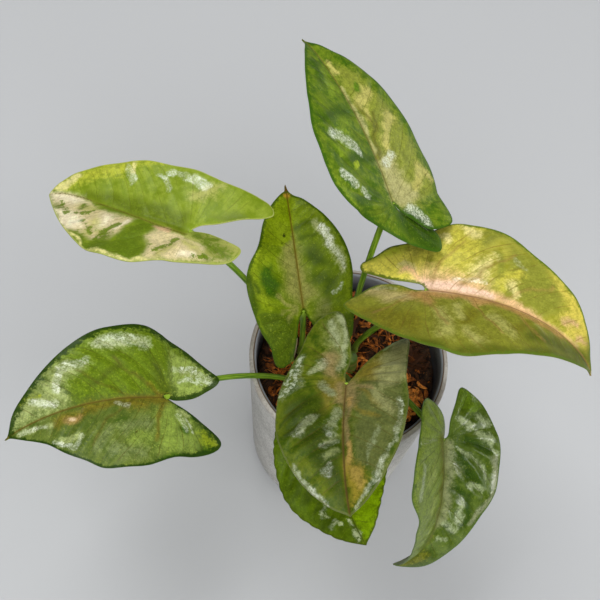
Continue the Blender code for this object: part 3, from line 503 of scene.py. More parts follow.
        ((0.085, 0.062, 0.008), 0.3, 0.8, [(0.35, (1, -0.5), (8, -4), (14, -10), (20, -18)),
         (0.3, (1, 1), (5, 9), (8, 18)), (0.3, (14, 1), (24, 8), (34, 17)), (0.25, (16, -1), (26, -8),
         (33, -15))]),
    ],
    "front_right": [
        ((0.147, 0.206, 0.022), 0.4, 0.25, [(0, (-3, -1), (50, -0.5), (60, -3), (40, -17), (30, -21),
         (22, -26), (12, -28), (2, -24), (-8, -17), (-18, -10), (-12, 0))]),
        ((0.111, 0.114, 0.014), 0.5, 0.5, [(0, (-4, -1), (44, 0), (34, -4), (10, -6), (-4, -5))]),
        # Painted highlights on the swellings of the right half
        ((0.215, 0.27, 0.05), 1, 1, [(1.8, (6, -10), (14, -12)), (1.8, (22, -9), (28, -11)),
         (1.4, (34, -6), (38, -8)), (1, (10, -16), (16, -15))]),
        ((0.111, 0.189, 0.007), 0.4, 0.25, [(0, (-21, 9), (-20, 14), (-13, 20), (-10, 18), (-12, 9))]),
        ((0.022, 0.058, 0.001), 0.8, 0.9, [(1.8, (0.5, 9.4), (3, 15.2), (5.3, 19.8)), (2.4, (6.5, 6.9),
         (12.6, 9.6), (16.6, 13.8)), (1.5, (20.1, 3.8), (23.1, 7.7)), (1.4, (23, 10.4), (27.9, 12.3),
         (34, 11.6)), (1.8, (49, 3), (56, 2))]),
        ((0.15, 0.16, 0.01), 0.9, 0.9, [(1.8, (50, 3), (60, 1))]),
        # Pale band beside the midrib and along the margin, partly its own colour and partly painted
        # sheen
        ((0.215, 0.24, 0.105), 0.8, 1, [(1.6, (1, 1.8), (34, 1.6)), (0, (3, 1.5), (14, 7.5), (14, 1.5)),
         (1.3, (8.6, 22.7), (15, 23.2), (21.1, 22.3), (26.8, 17.7), (32.1, 14.6))]),
        # Painted highlights on the swellings of the left half
        ((0.33, 0.4, 0.185), 0.8, 0.8, [(1.2, (-7.8, 6.9), (-4.2, 12.1)), (1.7, (-7.9, 16.5),
         (-4.8, 20.4)), (0.9, (-1.1, 15), (1.3, 20.9), (6.4, 24.2)), (0.45, (3.2, 5.7), (7.9, 11.4),
         (12.2, 17.4), (15.9, 17)), (0.9, (19.2, 10.4), (19.2, 15.9)), (1.2, (25.1, 7.2), (32, 9.4)),
         (0.7, (33, 3.3), (36, 9.2)), (0.7, (40.7, 3), (41.2, 7.1))]),
    ],
}

# Glossy places on each blade, where the coat shines and painted sheen whitens the colour, as
# marks like those of the patches
SHINE = {
    "top": [(1.5, (10, 20.5), (13.5, 24.5)), (0.9, (5, 13.5), (8, 17)), (2.2, (21, 11), (30, 20)),
        (2.1, (15, -4), (18, -8)), (2.4, (-10, -12), (-4, -7))],
    "back_left": [(1.7, (1, -20), (9, -22), (18, -21)), (1.2, (16, -14), (21, -19)), (1.2, (31, -13),
        (36, -19)), (1, (42, 12), (44, 15))],
    "middle": [(1.3, (34, -12), (28.7, -14.4), (24, -16.2)), (0.7, (24, -16.2), (15, -19.1)),
        (0.7, (8.9, -17.7), (6.3, -16.1), (5.3, -13.9))],
    "right": [(1.2, (-20, -1), (-12, -2)), (1, (10, 6), (20, 8)), (0.8, (28, 20), (33, 17))],
    "front": [(1.6, (-11, -9), (-10, -10)), (1.8, (-14, -18), (-3, -19)), (2.2, (0, -18), (9, -22)),
        (1.3, (17, -10), (26, -16)), (1.6, (2, -8), (7, -5)), (2, (15, -3), (24, -5)), (1.3, (28, -3),
        (31, -7)), (1, (38, -4), (41, -7)), (1.2, (14, 21), (24, 21)), (0.9, (24, 21), (34, 18.5),
        (42, 13), (49, 8), (54, 3)), (0.4, (38, -17), (46, -11.5), (52, -6))],
    "front_low": [(0.6, (34, -7), (38, -10)), (0.9, (42, -1.5), (49, -1.5)), (0.5, (40, -6), (43, -8))],
    "left": [(2.4, (8, -22), (15, -25), (24, -24)), (1.5, (30, -18), (38, -16), (42, -9)),
        (1.6, (44, -3), (50, -7)), (0.8, (37, 14), (42, 17), (47, 13)), (2.2, (-22, -6), (-19, -9)),
        (1, (-16, -11), (-4, -12)), (0.9, (-12, -8), (-5, -7)), (1.1, (-6, 15), (-3, 8)), (0.9, (18, 4),
        (21, 2)), (0.9, (50, 4), (60, 2))],
    "front_right": [(1.6, (-7.8, 6.9), (-4.2, 12.1)), (2.2, (-7.9, 16.5), (-4.8, 20.4)),
        (1.5, (-1.1, 15), (1.3, 20.9), (6.4, 24.2)), (1, (3.2, 5.7), (7.9, 11.4), (12.2, 17.4),
        (15.9, 17)), (1.2, (6, 3.5), (12, 6)), (1.5, (19.2, 10.4), (19.2, 15.9)), (1.8, (25.1, 7.2),
        (32, 9.4)), (1.4, (10, 23), (21.1, 22), (26.8, 17.7), (32.1, 14.6)), (1.2, (33, 3.3),
        (36, 9.2)), (1.2, (40.7, 3), (41.2, 7.1)), (1.2, (8, -20), (20, -22))],
}


def scaled(colour, factor):
    """A colour made darker or lighter."""
    return tuple(min(0.97, factor * c) for c in colour)


class Graph:
    """A new material, with short calls that build its node tree and return a node's output."""

    def __init__(self, name, roughness, **sockets):
        self.mat = bpy.data.materials.new(name)
        self.mat.use_nodes = True
        self.tree = self.mat.node_tree
        self.shader = self.tree.nodes["Principled BSDF"]
        self.feed(self.shader, {"Roughness": roughness})
        self.feed(self.shader, {key.replace("_", " "): value for key, value in sockets.items()})

    def feed(self, node, values):
        """Set a node's sockets, or link those whose value is another node's output."""
        for key, value in values.items():
            socket = node.inputs[key]
            if isinstance(value, bpy.types.NodeSocket):
                self.tree.links.new(value, socket)
            elif socket.type == "RGBA":
                socket.default_value = (*value, 1.0)
            else:
                socket.default_value = value

    def node(self, kind, values, out=0, **settings):
        """Make a node from its kind, its sockets' values and its settings."""
        made = self.tree.nodes.new(kind)
        for key, value in settings.items():
            setattr(made, key, value)
        self.feed(made, values)
        return made.outputs[out]

    def place(self):
        """Place on the object, in metres."""
        return self.node("ShaderNodeTexCoord", {}, "Object")

    def attribute(self, name, out="Fac"):
        return self.node("ShaderNodeAttribute", {}, out, attribute_name=name)

    def math(self, operation, a, b):
        return self.node("ShaderNodeMath", {0: a, 1: b}, operation=operation)

    def add(self, a, b):
        return self.math("ADD", a, b)

    def times(self, a, b):
        return self.math("MULTIPLY", a, b)

    def total(self, *parts):
        """Sum of values, each with its weight."""
        (value, weight), *rest = parts
        first = self.times(value, weight)
        return self.add(first, self.total(*rest)) if rest else first

    def step(self, value, low, high):
        """Rise smoothly from 0 to 1 as a value goes from low to high."""
        return self.node("ShaderNodeMapRange", {"Value": value, "From Min": low, "From Max": high},
                         "Result", interpolation_type="SMOOTHSTEP")

    def mix(self, part, a, b, blend="MIX"):
        return self.node("ShaderNodeMix", {"Factor": part, "A": a, "B": b}, "Result",
                         data_type="RGBA", blend_type=blend)

    def over(self, colour, top, value, low, high, part=1.0, blend="MIX"):
        """Lay another colour over a colour as a value goes from low to high."""
        return self.mix(self.times(self.step(value, low, high), part), colour, top, blend)

    def noise(self, where, scale, detail, roughness, stretch=None):
        """Soft noise between 0 and 1, at places that can be stretched first."""
        if stretch:
            where = self.node("ShaderNodeVectorMath", {0: where, 1: stretch}, operation="MULTIPLY")
        return self.node("ShaderNodeTexNoise", {"Vector": where, "Scale": scale, "Detail": detail,
                                                "Roughness": roughness}, "Fac")

    def bend(self, where, scale, amount):
        """Push coordinates about with a soft noise."""
        push = self.node("ShaderNodeTexNoise", {"Vector": where, "Scale": scale}, "Color")
        return self.node("ShaderNodeVectorMath", {0: push, 1: (amount, amount, 0.0), 2: where},
                         operation="MULTIPLY_ADD")

    def cells(self, where, scale, feature="DISTANCE_TO_EDGE"):
        """Distance from the borders of small cells, or with F1 from their middles."""
        return self.node("ShaderNodeTexVoronoi", {"Vector": where, "Scale": scale}, "Distance",
                         feature=feature)

    def bump(self, height, strength, distance):
        return self.node("ShaderNodeBump", {"Height": height, "Strength": strength,
                                            "Distance": distance}, "Normal")

    def finish(self, colour, roughness, normal):
        """Join up the shader and return the material."""
        self.feed(self.shader, {"Base Color": colour, "Roughness": roughness, "Normal": normal})
        return self.mat


def leaf_material(name):
    """Waxy variegated blade: streaked greens, marbled patches, painted sheen and painted highlights,
    veins, margin and underside.
    """
    paint = PAINT[name]
    g = Graph("leaf_" + name, 0.45, Coat_Roughness=0.13, Coat_IOR=1.8, Specular_IOR_Level=0.08)
    flat, weave = g.attribute("flat", "Vector"), g.attribute("weave", "Vector")
    streak = g.noise(weave, 1.0, 3.0, 0.6, (0.45, 0.16, 1.0))
    cloud = g.noise(flat, 0.14, 4.0, 0.6)
    blotch = g.noise(flat, 0.42, 4.0, 0.62)
    grain = g.noise(flat, 1.3, 3.0, 0.65)
    speck = g.noise(flat, 3.4, 2.0, 0.6)
    mottle = g.total((cloud, 0.35), (blotch, 0.4), (streak, 0.25))
    ragged = g.total((streak, 0.2), (blotch, 0.5), (grain, 0.3))
    ragged = g.add(g.times(ragged, 6.0), -3.0)

    # Greens, and the patches over them
    colour = g.mix(g.step(mottle, 0.40, 0.60), *paint["base"])
    tone = g.step(g.total((blotch, 0.6), (grain, 0.4)), 0.38, 0.62)
    for i, (tint, rag, soft, _) in enumerate(LAYERS[name]):
        reach = g.add(g.attribute(f"tint{i}"), g.times(ragged, rag))
        shade = g.mix(tone, scaled(tint, 0.78), scaled(tint, 1.12))
        colour = g.over(colour, shade, reach, -soft, soft + 0.1, 0.92)

    # Painted sheen: white flecks of painted highlight on the glossy places; then fine specks and a
    # faint net
    shine = g.step(g.add(g.attribute("shine"), g.times(ragged, 0.45)), -0.5, 0.45)
    freckle = g.total((grain, 0.6), (speck, 0.4))
    flecks = g.add(g.times(g.step(freckle, 0.44, 0.58), 1.3), 0.35)
    # Painted highlight: the sheen colour laid in white flecks over the glossy places
    colour = g.mix(g.times(g.times(shine, flecks), paint["painted_sheen_strength"]), colour, PAINTED_SHEEN)
    strength = paint["freckle"]
    colour = g.over(colour, FRECKLE_DARK, freckle, 0.47, 0.36, strength, "MULTIPLY")
    colour = g.over(colour, FRECKLE_PALE, freckle, 0.55, 0.66, 0.4 * strength, "SCREEN")
    net = g.cells(g.bend(flat, 0.5, 1.2), 0.34)
    colour = g.over(colour, NET_SHADE, net, 0.05, 0.0, 0.12, "MULTIPLY")

    # Side veins, midrib and margin
    across = g.node("ShaderNodeSeparateXYZ", {0: weave}, "X")
    across = g.add(across, g.times(g.add(blotch, -0.5), 1.2))
    clear, faint = g.attribute("open"), g.step(cloud, 0.38, 0.58)
    lateral = g.step(g.math("PINGPONG", across, VEIN_SPACING / 2), 0.42, 0.10)
    lateral = g.times(g.times(lateral, clear), g.add(g.times(faint, 0.6), 0.4))
    minor = g.step(g.math("PINGPONG", across, VEIN_SPACING / 6), 0.26, 0.04)
    minor = g.times(g.times(minor, clear), faint)
    for line, strength in ((minor, 0.3), (lateral, 0.6 * paint["lines"])):
        colour = g.mix(g.times(line, 0.6 * strength), colour, paint["vein"])
        colour = g.mix(g.times(line, strength), colour, VEIN_SHADE, "MULTIPLY")
    middle, wide = g.attribute("middle"), g.node("ShaderNodeSeparateXYZ", {0: weave}, "Y")
    colour = g.over(colour, paint["midrib"], middle, 0.1, 0.9, 0.45)
    groove = g.times(g.step(wide, 0.45, 0.15), g.step(middle, 0.2, 0.6))
    colour = g.mix(g.times(groove, 0.75), colour, scaled(paint["midrib"], 0.62))
    border = paint["border"]
    edge = g.add(g.attribute("edge"), g.times(ragged, 0.6 * border))
    colour = g.over(colour, paint["margin"], edge, 1.1 * border, 0.45 * border, 0.85)

    # Underside, where the upper colours show through a little
    below = g.attribute("below")
    under = g.mix(g.step(mottle, 0.42, 0.58), scaled(paint["under"], 0.75), paint["under"])
    under = g.over(under, scaled(paint["under"], 1.25), lateral, 0.5, 1.0, 0.5)
    colour = g.mix(below, colour, g.mix(0.3, under, colour))

    bumps = g.bump(g.total((blotch, 0.4), (grain, 0.8), (speck, 0.3)), 0.5, 0.0003)
    coat = g.add(g.times(shine, 0.85), paint["wax"])
    g.feed(g.shader, {"Coat Weight": coat, "Coat Normal": bumps})
    return g.finish(colour, g.add(g.times(cloud, 0.2), g.add(0.33, g.times(below, 0.15))), bumps)


def stalk_material():
    """Streaked green, yellower towards the foot and at the blade's joint."""
    g = Graph("stalk_green", 0.4, Coat_Weight=0.12, Coat_Roughness=0.25, Specular_IOR_Level=0.2)
    grow = g.attribute("grow", "Vector")
    streak = g.noise(grow, 1.0, 3.0, 0.6, (2.2, 0.09, 2.2))
    spots = g.noise(grow, 1.0, 2.0, 0.5, (2.0, 0.8, 2.0))
    colour = g.mix(g.step(streak, 0.4, 0.62), STALK["dark"], STALK["light"])
    colour = g.over(colour, STALK["spot"], spots, 0.60, 0.75, 0.4)
    colour = g.mix(g.times(g.attribute("low"), 0.5), colour, STALK["foot"])
    colour = g.mix(g.attribute("joint"), colour, STALK["joint"])
    return g.finish(colour, g.add(g.times(streak, 0.3), 0.27), g.bump(streak, 0.4, 0.0003))


def stem_material():
    """Green with fine streaks along it and brown rings."""
    g = Graph("stem_green", 0.5)
    streak = g.noise(g.place(), 300, 3.0, 0.6, (1.0, 1.0, 0.15))
    colour = g.mix(g.step(streak, 0.4, 0.6), STEM["dark"], STEM["light"])
    colour = g.mix(g.times(g.attribute("ring"), 0.8), colour, STEM["ring"])
    return g.finish(colour, g.add(g.times(streak, 0.3), 0.35), g.bump(streak, 0.5, 0.0004))


def sheath_material():
    """Dry papery beige with fine fibres along it."""
    g = Graph("dry_sheath", 0.7, Specular_IOR_Level=0.2)
    place = g.place()
    fibre = g.noise(place, 1.0, 3.0, 0.6, (2200.0, 2200.0, 160.0))
    cloud = g.noise(place, 250, 2.0, 0.5)
    colour = g.mix(g.step(fibre, 0.38, 0.62), SHEATH["dark"], SHEATH["light"])
    colour = g.over(colour, SHEATH["stain"], cloud, 0.5, 0.7, 0.5)
    return g.finish(colour, g.add(g.times(fibre, 0.3), 0.5), g.bump(fibre, 0.5, 0.0003))


def pot_material():
    """Matte speckled grey wall, a pale lip with a brown line and a smooth bluish inside that darkens
    downwards with painted shade.
    """
    g = Graph("pot_grey", 0.6, Specular_IOR_Level=0.4)
    place = g.place()
    cloud = g.noise(place, 60, 3.0, 0.6)
    fine = g.noise(place, 750, 3.0, 0.7)
    dots = g.cells(place, 620, "F1")
    wall = g.mix(g.step(cloud, 0.35, 0.65), WALL["dark"], WALL["light"])
    wall = g.over(wall, WALL["speck"], fine, 0.52, 0.64, 0.5)
    wall = g.over(wall, WALL["pale"], fine, 0.46, 0.36, 0.5)
    wall = g.over(wall, WALL["dot"], dots, 0.22, 0.12, 0.45)
    lip = g.mix(g.step(cloud, 0.4, 0.6), LIP["dark"], LIP["light"])
    lip = g.over(lip, LIP["speck"], fine, 0.5, 0.6, 0.35)
    # Painted shade: the inside darkens from the rim down to the mix
    inner = g.mix(g.step(g.attribute("deep"), 0.0, 0.75), INSIDE["top"], INSIDE["deep"])
    inner = g.over(inner, INSIDE["cloud"], cloud, 0.4, 0.62, 0.35)
    band = g.attribute("band")
    colour = g.over(wall, lip, band, 0.4, 0.6)
    colour = g.over(colour, LIP["line"], band, 1.2, 1.5)
    colour = g.over(colour, inner, band, 1.7, 1.95)
    rough = g.add(g.times(fine, 0.2), g.add(0.55, g.times(band, -0.17)))
    return g.finish(colour, rough, g.bump(g.add(fine, g.times(cloud, 0.4)), 0.3, 0.0003))


def soil_material():
    """Dark crumbs with reddish fibres among them."""
    g = Graph("potting_mix", 0.9, Specular_IOR_Level=0.3)
    place = g.place()
    coarse = g.noise(place, 260, 4.0, 0.65)
    fine = g.noise(place, 1100, 3.0, 0.65)
    colour = g.mix(g.step(coarse, 0.4, 0.65), MIX["dark"], MIX["light"])
    colour = g.over(colour, MIX["fibre"], fine, 0.56, 0.68, 0.7)
    bumps = g.bump(g.add(coarse, g.times(fine, 0.5)), 0.8, 0.0008)
    return g.finish(colour, g.add(g.times(coarse, 0.3), 0.65), bumps)


def bark_material():
    """Brown to orange bits of bark and husk, each with its own shade; a strip's shade also holds
    painted shade at the right wall and painted light in the heap.
    """
    g = Graph("bark", 0.8, Specular_IOR_Level=0.3)
    grain = g.noise(g.place(), 500, 4.0, 0.65, (1.0, 1.0, 4.0))
    shade = g.attribute("shade")
    colour = g.mix(g.step(shade, 0.1, 0.75), BARK["dark"], BARK["light"])
    # The dry orange shows where the shade is high, which painted light raises in the heap
    colour = g.over(colour, BARK["dry"], shade, 0.78, 0.95, 0.9)
    colour = g.over(colour, BARK["grain"], grain, 0.55, 0.40, 0.7)
    return g.finish(colour, g.add(g.times(grain, 0.3), 0.6), g.bump(grain, 0.8, 0.0006))


def add_object(name, data):
    """Put an object with its mesh, light or camera into the scene."""
    obj = bpy.data.objects.new(name, data)
    bpy.context.scene.collection.objects.link(obj)
    return obj


def add_mesh(name, points, faces, mat):
    """Put a mesh with points in metres into the scene."""
    mesh = bpy.data.meshes.new(name)
    mesh.from_pydata(points, [], faces)
    mesh.materials.append(mat)
    return add_object(name, mesh)


def mesh_piece(name, points, faces, mat, node=None, sharp=40):
    """Make a piece from points in millimetres, riding on the body and standing for its node."""
    obj = add_mesh(name, (np.asarray(points, float) * MM).tolist(), faces, mat)
    obj.data.shade_smooth()
    obj.data.set_sharp_from_angle(angle=math.radians(sharp))
    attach(obj, "root")
    if node:
        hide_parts(node)
    return obj


def put(obj, **fields):
    """Store numbers or vectors for a piece's points, under the names its material reads."""
    for name, values in fields.items():
        values = np.asarray(values, np.float32)
        kind, field = ("FLOAT", "value") if values.ndim == 1 else ("FLOAT_VECTOR", "vector")
        made = obj.data.attributes.new(name, kind, "POINT")
        made.data.foreach_set(field, values.ravel())


def unit(vector):
    return vector / np.linalg.norm(vector)


def spin(vector, axis, angles):
    """Turn a vector about an axis by each of several angles."""
    cosine, sine = np.cos(angles)[:, None], np.sin(angles)[:, None]
    return (vector * cosine + np.cross(axis, vector) * sine
            + axis * (axis @ vector) * (1 - cosine))


def rise(value, low, high):
    """Rise smoothly from 0 to 1 as a value goes from low to high."""
    part = np.clip((value - low) / (high - low), 0.0, 1.0)
    return part * part * (3 - 2 * part)


def lumps(x, y, size, seed):
    """Smooth uneven waves between -1 and 1, about one size across."""
    count = 64
    table = np.random.default_rng(seed).uniform(-1, 1, (count, count))
    x, y = np.asarray(x, float) / size + 20.3, np.asarray(y, float) / size + 20.7
    i, j = np.floor(x).astype(int), np.floor(y).astype(int)
    a, b = x - i, y - j
    a, b = a * a * (3 - 2 * a), b * b * (3 - 2 * b)
    i, j = i % count, j % count
    k, m = (i + 1) % count, (j + 1) % count
    near = table[i, j] * (1 - b) + table[i, m] * b
    far = table[k, j] * (1 - b) + table[k, m] * b
    return near * (1 - a) + far * a


class Blade:
    """The curved middle surface of one leaf blade."""

    def __init__(self, leaf):
        self.leaf = leaf
        self.length = leaf["length"]
        self.half_width = 0.45 * self.length
        self.joint = np.array(leaf["joint"], float)
        heading, pitch, bank = np.radians(leaf["aim"])
        self.along = np.array([math.cos(pitch) * math.cos(heading),
                               math.cos(pitch) * math.sin(heading), math.sin(pitch)])
        level = np.array([-math.sin(heading), math.cos(heading), 0.0])
        upright = np.cross(self.along, level)
        self.across = math.cos(bank) * level + math.sin(bank) * upright
        self.normal = math.cos(bank) * upright - math.sin(bank) * level
        self.steps = np.linspace(-0.9 * self.length, 1.1 * self.length, 201)
        self.paths = {}
        for side in (1, -1):
            path = np.zeros((len(self.steps), 3))
            run = self.turn(self.steps, side)[0]
            step = self.steps[1] - self.steps[0]
            path[1:] = np.cumsum(0.5 * (run[1:] + run[:-1]), axis=0) * step
            self.paths[side] = path - self.on_path(0, path) + self.joint

    def on_path(self, u, path):
        """Points of a path at distances u along the midrib."""
        return np.stack([np.interp(u, self.steps, path[:, k]) for k in range(3)], axis=-1)

    def turn(self, u, side):
        """Directions along, across and out of the blade at distances u along the midrib."""
        droop, sweep, twist = np.radians(self.leaf["turn"])
        front = twist * self.along + droop * self.across + sweep * self.normal
        lobe = math.radians(self.leaf["lobes"][0 if side > 0 else 1])
        rear = math.radians(self.leaf["back"]) * self.along - lobe * self.across
        part = np.abs(u) / self.length
        angle = np.where(u >= 0, np.linalg.norm(front) * part ** self.leaf["late"],
                         np.linalg.norm(rear) * part)
        result = []
        for direction in (self.along, self.across, self.normal):
            ahead = spin(direction, unit(front), angle)
            behind = spin(direction, unit(rear), angle)
            result.append(np.where((u >= 0)[:, None], ahead, behind))
        return result

    def points(self, u, w, side):
        """Points at u along the midrib and w out from it, on the left (1) or right (-1)."""
        which = 0 if side > 0 else 1
        centre = self.on_path(u, self.paths[side])
        _, across, normal = self.turn(u, side)
        fold = math.radians(self.leaf["fold"][which]) * np.clip(1 + 2 * u / self.length, 0, 1)
        bend = math.radians(self.leaf["curl"][which]) * w / self.half_width
        middle = fold + bend / 2
        reach = w * np.sinc(bend / 2 / math.pi)
        wave = self.leaf["ripple"] * np.sin(2 * math.pi * u / RIPPLE_LENGTH + side)
        wave = wave * (w / self.half_width) ** 2
        return (centre + (reach * np.cos(middle) * side)[:, None] * across
                + (reach * np.sin(middle) + wave)[:, None] * normal)


def smooth_line(knots, step):
    """Catmull-Rom curve through the knots, with points about one step apart."""
    knots = [np.array(k, float) for k in knots]
    padded = [2 * knots[0] - knots[1]] + knots + [2 * knots[-1] - knots[-2]]
    line = []
    for a, b, c, d in zip(padded, padded[1:], padded[2:], padded[3:]):
        count = max(1, round(float(np.linalg.norm(c - b)) / step))
        for i in range(count):
            t = i / count
            line.append(0.5 * (2 * b + (c - a) * t + (2 * a - 5 * b + 4 * c - d) * t ** 2
                               + (3 * b - a - 3 * c + d) * t ** 3))
    line.append(knots[-1])
    return np.array(line)


def inside(spots, loop):
    """Which of the spots lie inside a closed loop."""
    hit = np.zeros(len(spots), bool)
    for (x1, y1), (x2, y2) in zip(loop, np.roll(loop, -1, axis=0)):
        if y1 == y2:
            continue
        crosses = (y1 > spots[:, 1]) != (y2 > spots[:, 1])
        hit ^= crosses & (spots[:, 0] < (x2 - x1) * (spots[:, 1] - y1) / (y2 - y1) + x1)
    return hit


def reach_to(spots, line):
    """Distance of each spot from an open line of points."""
    best = np.full(len(spots), np.inf)
    for a, b in zip(line, line[1:]):
        run = b - a
        part = np.clip((spots - a) @ run / max(run @ run, 1e-9), 0, 1)
        best = np.minimum(best, np.linalg.norm(spots - a - part[:, None] * run, axis=1))
    return best


def closed(line):
    """A line of points with its first point again at the end."""
    return np.concatenate([line, line[:1]])


def depth_in(flat, marks):
    """How deep each point lies in a set of marks: above 0 inside them, below 0 outside."""
    best = np.full(len(flat), -1.5)
    for radius, *line in marks:
        line = np.array(line, float)
        if radius:
            depth = (radius - reach_to(flat, line)) / max(radius, 1.2)
        else:
            far = reach_to(flat, closed(line))
            depth = np.where(inside(flat, line), far, -far) / 3.0
        best = np.maximum(best, depth)
    return np.clip(best, -1.5, 1.0)


def half_mesh(outline, length, waves):
    """Fine triangles over one half of a blade: flat points, triangles and distance to margin."""
    edge = smooth_line([(0, 0)] + outline + [(length, 0)], EDGE_STEP)
    along = np.concatenate([[0], np.cumsum(np.hypot(*np.diff(edge, axis=0).T))])
    calm = rise(edge[:, 1], 3, 9)
    edge[:, 1] += waves * calm * (np.abs(np.sin(along * math.pi / CRENATION_LENGTH)) - 0.6)
    ribs = round(length / INNER_STEP)
    midrib = np.array([(length * (ribs - i) / ribs, 0.0) for i in range(1, ribs)])
    loop = np.concatenate([edge, midrib])
    rows = int(GRID_LENGTH / INNER_STEP)
    spots = np.array([(row * INNER_STEP * ROW_GAP, (column + 0.5 * (row % 2)) * INNER_STEP)
                      for row in range(-rows // 2, rows) for column in range(*GRID_COLUMNS)])
    spots = spots[inside(spots, loop)]
    spots = spots[reach_to(spots, closed(loop)) > CLEAR_GAP * INNER_STEP]
    flat, _, triangles, _, _, _ = geometry.delaunay_2d_cdt(
        [Vector(p) for p in np.concatenate([loop, spots])], [], [list(range(len(loop)))], 1, 1e-6)
    flat = np.array([(p.x, p.y) for p in flat])
    return flat, triangles, reach_to(flat, edge)


def sewn_halves(name, leaf, last, tip):
    """Both halves sewn at the midrib: flat points, curved points, triangles, distance to margin."""
    blade = Blade(leaf)
    flat, places, faces, margin, sewn = [], [], [], [], {}
    for side, outline in ((1, leaf["left"]), (-1, leaf["right"])):
        half, triangles, edge = half_mesh(outline + last, tip, CRENATIONS.get(name, 0.0))
        placed = blade.points(half[:, 0], half[:, 1], side)
        index = []
        for (u, w), place, far in zip(half, placed, edge):
            key = round(u, 4) if u > -1e-6 and abs(w) < 1e-6 else None
            if key in sewn:
                index.append(sewn[key])
                continue
            if key is not None:
                sewn[key] = len(flat)
            index.append(len(flat))
            flat.append((u, side * w))
            places.append(place)
            margin.append(far)
        for a, b, c in triangles:
            corners = (index[a], index[b], index[c])
            faces.append(corners if side > 0 else corners[::-1])
    return np.array(flat), np.array(places), np.array(faces), np.array(margin)


def face_normals(points, faces):
    """Direction out of the sheet at each point."""
    a, b, c = points[faces[:, 0]], points[faces[:, 1]], points[faces[:, 2]]
    cross = np.cross(b - a, c - a)
    normals = np.zeros_like(points)
    for corner in range(3):
        np.add.at(normals, faces[:, corner], cross)
    return normals / np.maximum(np.linalg.norm(normals, axis=1), 1e-12)[:, None]


def vein_line(w):
    """How far along the midrib the side vein from the joint has come at w out from it."""
    return VEIN_LEAN * w + VEIN_BEND * w * w


def vein_place(u, w):
    """Place across the side veins: one vein every VEIN_SPACING, with fans into the rear lobes."""
    out = np.linspace(0, 60, 200)
    up = vein_line(out)
    first = np.interp(np.hypot(u, w), np.hypot(up, out), np.arctan2(out, np.maximum(up, 1e-6)))
    ahead = u - vein_line(w)
    return np.where(ahead >= 0, ahead, -(np.arctan2(w, u) - first) * LOBE_FAN)


def vein_gap(across, times):
    """Distance from the nearest vein, where there are so many times the side veins."""
    return np.abs((across / VEIN_SPACING * times + 0.5) % 1.0 - 0.5) * VEIN_SPACING / times


